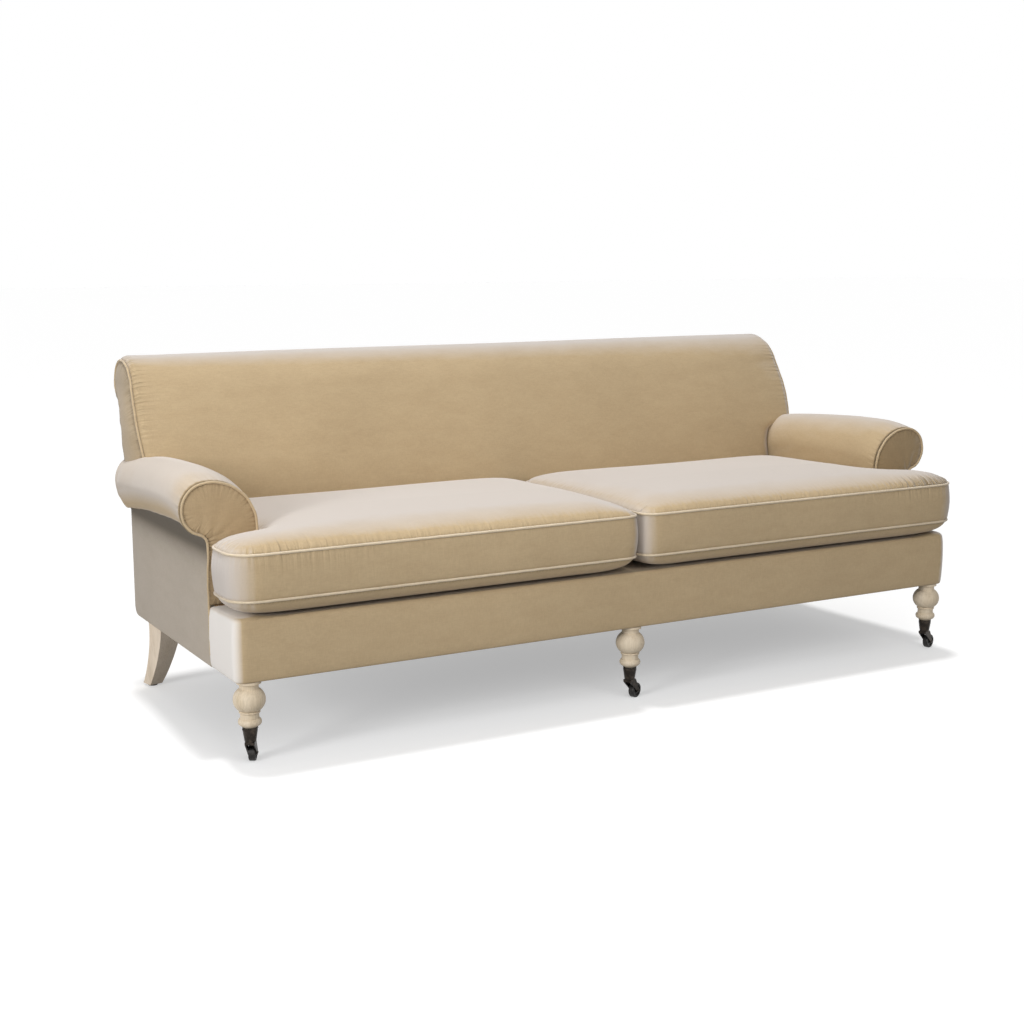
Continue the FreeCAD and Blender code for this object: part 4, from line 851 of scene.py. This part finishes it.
def back_swell(w):
    """How far the ends of the back stand out past its frame at a height."""
    low, high = between(w, 0.24, 0.36), between(w, 0.535, 0.365)
    return 0.008 * (3 * low ** 2 - 2 * low ** 3) * (3 * high ** 2 - 2 * high ** 3)


def rear_swell(w):
    """How far the outside back bulges at a height."""
    return 0.018 * np.sin(math.pi * between(w, 0.05, 0.36)) ** 2


def back_front(crown):
    """The foot, waist, shoulder and top of the back's front, in v and w."""
    line = SEAT_DEPTH + 0.036
    return [(line + SLOPE * (height - BACK_FOOT) + behind - middle * crown - ends * (1 - crown), height)
            for height, behind, middle, ends in BACK_LINES] + [BACK_TOP]


def scroll(shoulder, top):
    """The back's section from its shoulder over the top, round the scroll and down to the outside back."""
    centre = (top[0], top[1] - SCROLL_RADIUS)
    over = (shoulder[0] + (top[0] - shoulder[0]) * 0.36, shoulder[1] + (top[1] - shoulder[1]) * 0.70)
    roll, under = [(centre[0] + SCROLL_RADIUS * math.cos(turn), centre[1] + SCROLL_RADIUS * math.sin(turn))
                   for turn in (math.radians(-5), math.radians(-80))]
    base = (float(raked(DEPTH, SCROLL_BASE)), SCROLL_BASE)
    hollow = (base[0] + (under[0] - base[0]) * 0.32, base[1] + (under[1] - base[1]) * 0.56)
    return [arc(shoulder, over, top, 20), arc(top, roll, under, 30), arc(under, hollow, base, 16)]


def back_section(x):
    """The back's section in v and w, clockwise, at a place across it. The front comes first."""
    crown = float(smooth_table(BACK_SHARES, np.array([abs(x) / BACK_HALF]))[0, 0])
    foot, waist, shoulder, top = back_front(crown)
    past = 1 - min((BACK_HALF - abs(x)) / (END_ROUNDING * 1.15), 1)
    ease = END_ROUNDING * (1 - math.sqrt(1 - past ** 2))
    front = chain([(foot[0], 0.0), foot], arc(foot, waist, shoulder, 30), *scroll(shoulder, top))
    front = resample(front, count=BACK_FRONT - 1)
    front = offset(np.vstack([front, [(FRAME_FRONT, SCROLL_BASE), (FRAME_FRONT, 0.0)]]), ease)[:BACK_FRONT]
    rear = REAR_LINE + [(FRAME_FRONT, 0.0)]
    return np.vstack([front, resample(rear, count=12)])


def make_back():
    fine = [0, 0.0006, 0.002, 0.004, 0.007, 0.011, 0.0155]
    gaps = np.concatenate([fine, np.arange(0.020, 0.16, 0.006), np.linspace(0.16, BACK_HALF, 74)[1:]])
    across = np.concatenate([-(BACK_HALF - gaps), (BACK_HALF - gaps)[-2::-1]])
    sections = [back_section(x) for x in across]
    grid = np.array([np.column_stack([np.full(len(line), x), line]) for x, line in zip(across, sections)])
    rows, count = grid.shape[:2]
    arm_edge = arm_over(0.2, 0.92, 0.25)[:24]
    _, around = lengths(grid[rows // 2][:BACK_FRONT, 1:])
    for row, x in zip(grid, across):
        edge = BACK_HALF - abs(x)
        surface, height = row[:BACK_FRONT, 1:], row[:BACK_FRONT, 2]
        out = -normals(row[:, 1:])[:BACK_FRONT]
        # Puckers that run in from the end welts near the top.
        wave = ripple(around, around[-1], 0.015, 51 + (x > 0)) * (0.35 + 0.65 * between(height, 0.33, 0.45))
        surface += out * (0.0011 * fade(edge, 0.030) * (1 - fade(edge, 0.005)) * wave)[:, None]
        # Soft slack along the seat, and a groove beside the arm.
        slack = 0.0016 * np.sin(x * 5.3 + 1.1) * np.sin(height * 11) * min(edge / 0.1, 1)
        to_arm = np.maximum(np.interp(height, arm_edge[:, 1], arm_edge[:, 0]) - abs(x), 0)
        groove = 0.014 * fade(to_arm, 0.013) * between(height, 0.262, 0.242)
        surface += out * (slack - groove)[:, None]
    points = grid.reshape(-1, 3)
    x, height = points[:, 0], points[:, 2]
    x += np.sign(x) * back_swell(height) * between(np.abs(x), BACK_HALF - 0.15, BACK_HALF) ** 1.5
    faces = [*quads(rows, count)]
    for row in (0, rows - 1):
        # A step wider than the section, so that its ends are filled from rim to rim.
        faces += [*(fill(grid[row][:, 1:], 0.5)[1] + row * count)]
    item = build("back_cover", points + ORIGIN, faces, cover, 48, ["inside_back"])
    # Painted shade in the groove beside each arm and along the end welts, and gathers with painted shade in
    # their valleys near the ends.
    to_arm = np.abs(np.interp(height, arm_edge[:, 1], arm_edge[:, 0]) - np.abs(x))
    painted_shade_beside_arm = 0.8 * fade(to_arm, 0.007) * between(height, 0.255, 0.235)
    edge = np.repeat(BACK_HALF - np.abs(across), count)
    along = np.tile(np.concatenate([around, np.full(count - BACK_FRONT, around[-1])]), rows)
    mark(item, seam=np.maximum(painted_shade_beside_arm, 0.9 * bell(edge, 0.002)), along=along,
         gather=fade(edge, 0.022) * (1 - fade(edge, 0.004)) * np.clip((height - 0.30) / 0.12, 0.25, 1))


def make_back_end(side, name):
    foot, waist, shoulder, top = back_front(0)
    sunk = END_ROUNDING * 0.72
    outline = chain(arc(foot, waist, shoulder, 30), *scroll(shoulder, top), REAR_LINE)
    line = anticlockwise(resample(outline, step=0.005, closed=True))
    line = resample(relax(offset(line, -sunk), 6), step=0.006, closed=True)

    def place(v, w, height):
        rearward = between(v - foot[0] - SLOPE * (w - BACK_FOOT), 0, 0.12)
        wider = END_WIDENING * rearward * between(w, 0.45, 0.30) * between(w, UNDER_ARM, UNDER_ARM + 0.03)
        tucked = 0.016 * between(w, UNDER_ARM, UNDER_ARM - 0.02)
        return seat(side * (BACK_HALF - 0.001 - tucked + back_swell(w) + wider + height),
                    v + rear_swell(w) * rearward, w)

    def lift(points, faces, rim):
        puckers, gap = gathers(points, line, 0.013, 61 + (side > 0), 0.016)
        return (0.013 * puffed(points, faces, rim, 0.025, 0.009) ** 0.8
                + 0.0004 * puckers * np.minimum(gap / 0.004, 1))

    item = shell(f"{name}_back_end_panel", line, place, rounded(0.002, 0, 0.003, 2), end_cover, 0.009,
                 [f"{name}_back_facing"], lift)
    flat = (coordinates(item.data) - ORIGIN)[:, 1:]
    gap, run = nearest(flat, line)
    # Painted shade along the welt and over the top of the scroll, and gathers with painted shade in their
    # valleys by the welt.
    painted_scroll_shade = 0.30 * between(flat[:, 1], 0.40, 0.46)
    mark(item, seam=np.maximum(0.8 * bell(gap, 0.004), painted_scroll_shade), along=run, gather=0.8 * fade(gap, 0.012))
    # The welt starts on the front beside the arm, and ends on the rear above it.
    line = line[::-1]
    start = int(np.argmin(np.abs(line[:, 1] - 0.19) + 10 * (line[:, 0] > foot[0] + 0.06)))
    path = np.roll(line, -start, axis=0)
    behind = np.where((path[:, 1] < 0.30) & (path[:, 0] > FRAME_FRONT))[0]
    tail = [(float(raked(DEPTH - sunk, height)), height) for height in (0.27, 0.201)]
    v, w = relax(resample(chain(path[:behind[0]], tail), step=0.005), 4, closed=False).T
    x = BACK_HALF + THIN_WELT * 0.6 + back_swell(w)
    welt(f"{name}_back_welt", seat(side * x, v, w), (1, 0, 0), welt_cover, 71 + (side > 0), 0.0004,
         [f"{name}_back_piping"])


def make_outside_back():
    outline = [(-WOOD_HALF, RAIL_LOW), (WOOD_HALF, RAIL_LOW), (WOOD_HALF, SCROLL_BASE),
               (-WOOD_HALF, SCROLL_BASE)]
    line = resample(outline, step=0.014, closed=True)
    knee_run = 0.02

    def place(x, w, height):
        high = between(w, 0.10, 0.18)
        x = x + np.sign(x) * (back_swell(w) + 0.013 * high) * between(np.abs(x), 0.7, 0.9)
        drawn_in = 0.006 * fade(WOOD_HALF - np.abs(x), 0.010) * high
        lean = np.where(np.abs(w - KNEE) < knee_run, (w - KNEE + knee_run) ** 2 / (4 * knee_run),
                        np.maximum(w - KNEE, 0))
        return seat(x, DEPTH - COVER + SLOPE * lean + height - drawn_in + rear_swell(w), w)

    def lift(points, faces, rim):
        slack = 0.0014 * np.sin(points[:, 0] * 7 + 1) * np.sin(points[:, 1] * 11)
        return (0.003 + slack) * puffed(points, faces, rim, 0.06, 0.016)

    shell("outside_back_panel", line, place, rounded(0.004, 0, COVER), rear_cover, 0.016, ["outside_back"],
          lift)


# Border and deck

def make_border():
    corner, lower_edge, upper_edge = 0.024, 0.006, 0.012
    tall = -RAIL_LOW
    quarter = math.pi / 2
    left = [(-HALF + corner * (1 - math.sin(quarter - t)), corner * (1 - math.cos(quarter - t)))
            for t in np.linspace(0, quarter, 12)]
    right = [(-x, v) for x, v in left[::-1]]
    outline = chain(left, right, [(HALF, BEHIND_FACING), (-HALF, BEHIND_FACING)])
    line = resample(outline, step=0.006, closed=True)
    lower = [(lower_edge * (1 - math.sin(t)), lower_edge * (1 - math.cos(t)) - tall)
             for t in np.linspace(0, quarter, 4)]
    walls = [(-0.0028 * math.sin(math.pi * (h + tall) / tall) ** 0.7, h)
             for h in np.linspace(0.014 - tall, -0.026, 12)]
    upper = [(upper_edge * (1 - math.cos(t)), upper_edge * math.sin(t) - 0.014)
             for t in np.linspace(0, quarter, 8)]

    def place(x, v, w):
        drift = 0.0012 * np.sin(x * 4.1 + 0.5) * np.sin(math.pi * np.clip(-w / tall, 0, 1))
        plump = 0.008 * bell(HALF - 0.045 - np.abs(x), 0.045) * bell(v - 0.05, 0.06)
        return seat(x, v + drift * (v < 0.02), w + plump * between(w, -0.05, 0))

    item = shell("front_border_cover", line, place, lower + walls + upper, border_cover, 0.02,
                 ["front_border"])
    x, v, w = (coordinates(item.data) - ORIGIN).T
    from_end = HALF - np.abs(x)
    # A painted shadow on the top under the cushions' front edge, and the painted sheen kept to the ends.
    painted_shade_under_cushion = (w > -0.003) * bell(v - 0.014, 0.014) * between(from_end, 0.03, 0.06)
    mark(item, plain=0.86 * between(from_end, 0.018, 0.068), seam=0.9 * painted_shade_under_cushion)


def make_deck():
    outline = [(-SEAT_HALF, BEHIND_FACING), (SEAT_HALF, BEHIND_FACING), (SEAT_HALF, FRAME_FRONT),
               (-SEAT_HALF, FRAME_FRONT)]

    def lift(points, faces, rim):
        return -0.004 * puffed(points, faces, rim, 0.10, 0.02)

    shell("seat_platform", resample(outline, step=0.016, closed=True), seat,
          [(0, -0.025), (0, -0.003), (0.001, -0.001), (0.003, 0)], deck_cloth, 0.02, ["seat_deck"], lift)


# Cushions

CLEARANCE = 0.0003
BELLY = 0.042
BAND = 0.105
CROWN = 0.048
UNDER_WELT = CLEARANCE + BELLY
TOP_WELT = UNDER_WELT + BAND
JOINT_GAP = 0.0005
SIDE_GAP = 0.002
EAR_PAST_ARM = 0.017
PAST_BORDER = 0.032
CLOTH_FRAMES = 20
CLOTH_LIMIT = 0.002


def cushion_plan(grow):
    """A right cushion's outline at its welts, anticlockwise from the joint's front."""
    room = 2 * CUSHION_WELT + CLEARANCE
    joint, front, outer = JOINT_GAP + room, room - PAST_BORDER, HALF + EAR_PAST_ARM - room
    ear_rear = ARM_SETBACK - room - 2 * WELT - SIDE_GAP
    wall, rear = SEAT_HALF - room - SIDE_GAP, SEAT_DEPTH - room - SIDE_GAP
    corners = np.array([(joint, front), (outer, front), (outer, ear_rear), (wall, ear_rear), (wall, rear),
                        (joint, rear)])
    radii = (0.030, 0.058, 0.058, 0.016, 0.045, 0.060)
    runs = []
    befores, afters = np.roll(corners, 1, axis=0), np.roll(corners, -1, axis=0)
    for corner, before, after, radius in zip(corners, befores, afters, radii):
        start = corner + (before - corner) / np.linalg.norm(before - corner) * radius
        end = corner + (after - corner) / np.linalg.norm(after - corner) * radius
        inward = (start + end) / 2 - corner
        middle = corner + inward / np.linalg.norm(inward) * radius * (math.sqrt(2) - 1)
        runs.append(arc(start, middle, end, 12))
    plan = relax(resample(chain(*runs), step=0.007, closed=True), 6)
    return offset(plan, grow)


def plump_up(item, held):
    """Blows a sewn cover up with air pressure, its seams held, and keeps each point near where it was."""
    scene = bpy.context.scene
    before = coordinates(item.data)
    group = item.vertex_groups.new(name="seams")
    group.add([int(i) for i in held], 1.0, "REPLACE")
    cloth_modifier = item.modifiers.new("Cloth", "CLOTH")
    settings = cloth_modifier.settings
    settings.quality = 5
    settings.mass = 0.3
    settings.tension_stiffness = settings.compression_stiffness = 12
    settings.shear_stiffness = 6
    settings.bending_stiffness = 4
    settings.use_pressure = True
    settings.uniform_pressure_force = 4
    settings.effector_weights.gravity = 0
    settings.vertex_group_mass = group.name
    cloth_modifier.point_cache.frame_start = 1
    cloth_modifier.point_cache.frame_end = CLOTH_FRAMES
    for number in range(1, CLOTH_FRAMES + 1):
        scene.frame_set(number)
    blown = item.evaluated_get(bpy.context.evaluated_depsgraph_get())
    after = coordinates(blown.to_mesh())
    blown.to_mesh_clear()
    item.modifiers.remove(cloth_modifier)
    item.vertex_groups.clear()
    scene.frame_set(1)
    step = after - before
    size = np.linalg.norm(step, axis=1, keepdims=True)
    step *= np.minimum(1, CLOTH_LIMIT / np.maximum(size, 1e-9))
    edges = np.array([edge.vertices[:] for edge in item.data.edges])
    near = np.maximum(np.bincount(edges.ravel(), minlength=len(step)), 1)[:, None]
    free = np.ones((len(step), 1))
    free[held] = 0
    for _ in range(24):
        total = np.zeros_like(step)
        np.add.at(total, edges[:, 0], step[edges[:, 1]])
        np.add.at(total, edges[:, 1], step[edges[:, 0]])
        step = (step + total / near) / 2 * free
    item.data.vertices.foreach_set("co", (before + step).ravel())
    item.data.update()


def refine(item):
    """One level of subdivision, applied."""
    item.modifiers.new("Subdivision", "SUBSURF").levels = 1
    graph = bpy.context.evaluated_depsgraph_get()
    mesh = bpy.data.meshes.new_from_object(item.evaluated_get(graph))
    item.modifiers.clear()
    old, name = item.data, item.data.name
    item.data = mesh
    bpy.data.meshes.remove(old)
    mesh.name = name
    mesh.polygons.foreach_set("use_smooth", [True] * len(mesh.polygons))


def pucker_cushion(item, side, plan, seed):
    """Gathers beside the welts, and a fan of deeper ones at the ear, with painted shade along the welts, in
    the gathers' valleys and a painted contact shadow where the cushion rests.
    """
    mesh = item.data
    points = coordinates(mesh)
    directions = np.empty(len(points) * 3)
    mesh.vertex_normals.foreach_get("vector", directions)
    flat = (points - ORIGIN)[:, :2] * [side, 1]
    height = points[:, 2] - DECK
    gap, along = nearest(flat, plan)
    total = lengths(plan, True)[1][-1]

    def wave(pitch, number):
        return ripple(along, total, pitch, seed + number)

    down, up = TOP_WELT - height, height - UNDER_WELT
    top = between(height, TOP_WELT, TOP_WELT + 0.004)
    on_band = (up > 0) & (down > 0) & (gap < 0.02)
    near_seam = bell(gap, 0.030)
    fan = (0.0055 if side > 0 else 0.0014) * (np.abs(wave(0.026, 2)) - 0.45)
    fan = fan * bell(distance_to(flat, (HALF - 0.02, 0.05)), 0.13) * near_seam
    over = (0.0007 * wave(0.016, 1) * fade(gap, 0.018) + fan) * top * np.minimum(gap / 0.006, 1)
    to_corner = distance_to(flat, (HALF - 0.10, -0.03))
    upper = 0.0006 * (0.5 + bell(to_corner, 0.22)) * wave(0.014, 3) * fade(down, 0.022)
    lower = 0.0005 * wave(0.017, 4) * fade(up, 0.018)
    band = upper * np.minimum(down / 0.005, 1) + lower * np.minimum(up / 0.005, 1)
    move = over + np.where(on_band, band, 0)
    mesh.vertices.foreach_set("co", (points + directions.reshape(-1, 3) * move[:, None]).ravel())
    mesh.update()
    to_seam = np.hypot(gap, np.minimum(np.abs(down), np.abs(up)))
    fan_share = (2.4 if side > 0 else 0.25) * bell(distance_to(flat, (HALF - 0.07, 0.01)), 0.11) * near_seam
    above = (0.35 * fade(gap, 0.014) + fan_share) * top
    sides = on_band * (0.10 + 0.25 * bell(to_corner, 0.20)) * fade(np.maximum(down, 0), 0.022)
    # A painted contact shadow along the bottom edge.
    painted_contact_shadow = 1.2 * bell(height, 0.006) * bell(gap, 0.07)
    mark(item, seam=np.maximum(0.9 * bell(to_seam, 0.004), painted_contact_shadow), along=along,
         gather=np.maximum(above, sides))


def make_cushion(side, name):
    seed = 100 + 20 * (side > 0)
    step = 0.0095
    grow = 2 * (CUSHION_WELT - THIN_WELT)
    plan = cushion_plan(grow)
    count = len(plan)
    around = lengths(plan, True)[1][:count]
    made, triangles = fill(plan, step)
    rise, steep, sink = [puffed(made, triangles, count, reach, step) for reach in (0.120, 0.045, 0.028)]
    slack = 0.0022 * np.sin(made[:, 0] * 8.2 + seed) * np.sin(made[:, 1] * 9.4 + 2) * rise
    fall = 0.010 * between(made[:, 1], 0.25, 0.50) * steep
    top_height = CROWN * 0.98 * (0.80 * steep ** 0.55 + 0.20 * rise) + slack - fall
    low_height = -BELLY * np.minimum(1, 1.02 * sink ** 0.6)
    points = []
    band_rows = 12
    for place in np.linspace(0, 1, band_rows):
        bow = math.sin(math.pi * place)
        drift = 0.0012 * np.sin(around * 5 + place * 4 + seed) * bow
        points.append(np.column_stack([offset(plan, 0.0055 * bow ** 0.6 + drift),
                                       np.full(count, UNDER_WELT + BAND * place)]))
    last_row, base = (band_rows - 1) * count, band_rows * count
    inner = made[count:]
    points.append(np.column_stack([inner, UNDER_WELT + low_height[count:]]))
    points.append(np.column_stack([inner, TOP_WELT + top_height[count:]]))
    faces = [*quads(band_rows, count), *cap(triangles, count, 0, base)[:, ::-1],
             *cap(triangles, count, last_row, base + len(inner))]
    body = f"{name}_cushion"
    item = build(f"{name}_cushion_cover", np.vstack(points) * [side, 1, 1] + ORIGIN, faces, cushion_cover,
                 None, [f"{name}_seat_cushion"], body)
    plump_up(item, np.concatenate([np.arange(count), last_row + np.arange(count)]))
    refine(item)
    pucker_cushion(item, side, plan, seed)
    x, v = resample(cushion_plan(grow + THIN_WELT * 0.1), step=0.006, closed=True).T
    for label, height, shift, replaced in (("top", TOP_WELT, 7, [f"{name}_cushion_piping"]),
                                           ("under", UNDER_WELT, 12, [])):
        welt(f"{name}_cushion_{label}_welt", seat(side * x, v, height), (0, 0, 1), lit_cushion_welt_cover,
             seed + shift, 0.0002, replaced, body, closed=True)


for side, name in ((-1, "left"), (1, "right")):
    make_arm(side, name)
    make_arm_front(side, name)
    make_outside_arm(side, name)
    make_back_end(side, name)
    make_cushion(side, name)
make_back()
make_outside_back()
make_border()
make_deck()


# Stage, light and camera

def make_floor():
    mesh = bpy.data.meshes.new("floor")
    mesh.from_pydata([(-40, -40, 0), (40, -40, 0), (40, 40, 0), (-40, 40, 0)], [], [(0, 1, 2, 3)])
    floor = bpy.data.objects.new("floor", mesh)
    bpy.context.scene.collection.objects.link(floor)
    material = bpy.data.materials.new("floor_white")
    n = Nodes(material)
    matt = n.add("ShaderNodeBsdfDiffuse")
    glow = n.add("ShaderNodeEmission")
    both = n.add("ShaderNodeAddShader")
    n.put(matt.inputs["Color"], n.seen(0.38, 0.66))
    n.put(glow.inputs["Strength"], n.seen(0.0, 0.41))
    n.put(both.inputs[0], matt.outputs[0])
    n.put(both.inputs[1], glow.outputs[0])
    n.put(n.add("ShaderNodeOutputMaterial").inputs["Surface"], both.outputs[0])
    mesh.materials.append(material)


def make_world():
    world = bpy.data.worlds.new("studio")
    bpy.context.scene.world = world
    n = Nodes(world)
    background = n.add("ShaderNodeBackground")
    n.put(background.inputs["Color"], WHITE)
    n.put(background.inputs["Strength"], n.seen(0.34, 1.0))
    n.put(n.add("ShaderNodeOutputWorld").inputs["Surface"], background.outputs[0])


def make_sun(strength, spread, lean):
    light = bpy.data.lights.new("overhead", "SUN")
    light.energy = strength
    light.angle = math.radians(spread)
    item = bpy.data.objects.new("overhead", light)
    item.rotation_euler = (-math.radians(lean), 0, 0)
    bpy.context.scene.collection.objects.link(item)


def make_lamp(name, place, target, size, power):
    light = bpy.data.lights.new(name, "AREA")
    light.shape = "RECTANGLE"
    light.size, light.size_y = size
    light.energy = power
    item = bpy.data.objects.new(name, light)
    item.location = place
    item.rotation_euler = (Vector(target) - Vector(place)).to_track_quat("-Z", "Y").to_euler()
    bpy.context.scene.collection.objects.link(item)


def make_camera(place, down, aside, lens):
    data = bpy.data.cameras.new("camera")
    data.lens = lens
    data.sensor_width = 36
    camera = bpy.data.objects.new("camera", data)
    camera.location = place
    camera.rotation_euler = (math.radians(90 - down), 0, math.radians(-aside))
    bpy.context.scene.collection.objects.link(camera)
    bpy.context.scene.camera = camera


make_floor()
make_world()
make_sun(strength=1.72, spread=6, lean=7)
make_lamp("key", (-5.2, -2.4, 1.9), (-0.2, 0, 0.5), (1.6, 1.6), 138)
make_lamp("front", (-0.6, -4.2, 3.0), (0, 0, 0.6), (3.0, 2.0), 41)
make_lamp("over", (-1.0, -1.5, 2.3), (-0.35, 0.4, 0.75), (1.4, 0.8), 9)
make_camera((-2.181, -3.6437, 1.158), down=9.76, aside=29.65, lens=54.49)
bpy.context.scene.view_settings.view_transform = "Standard"
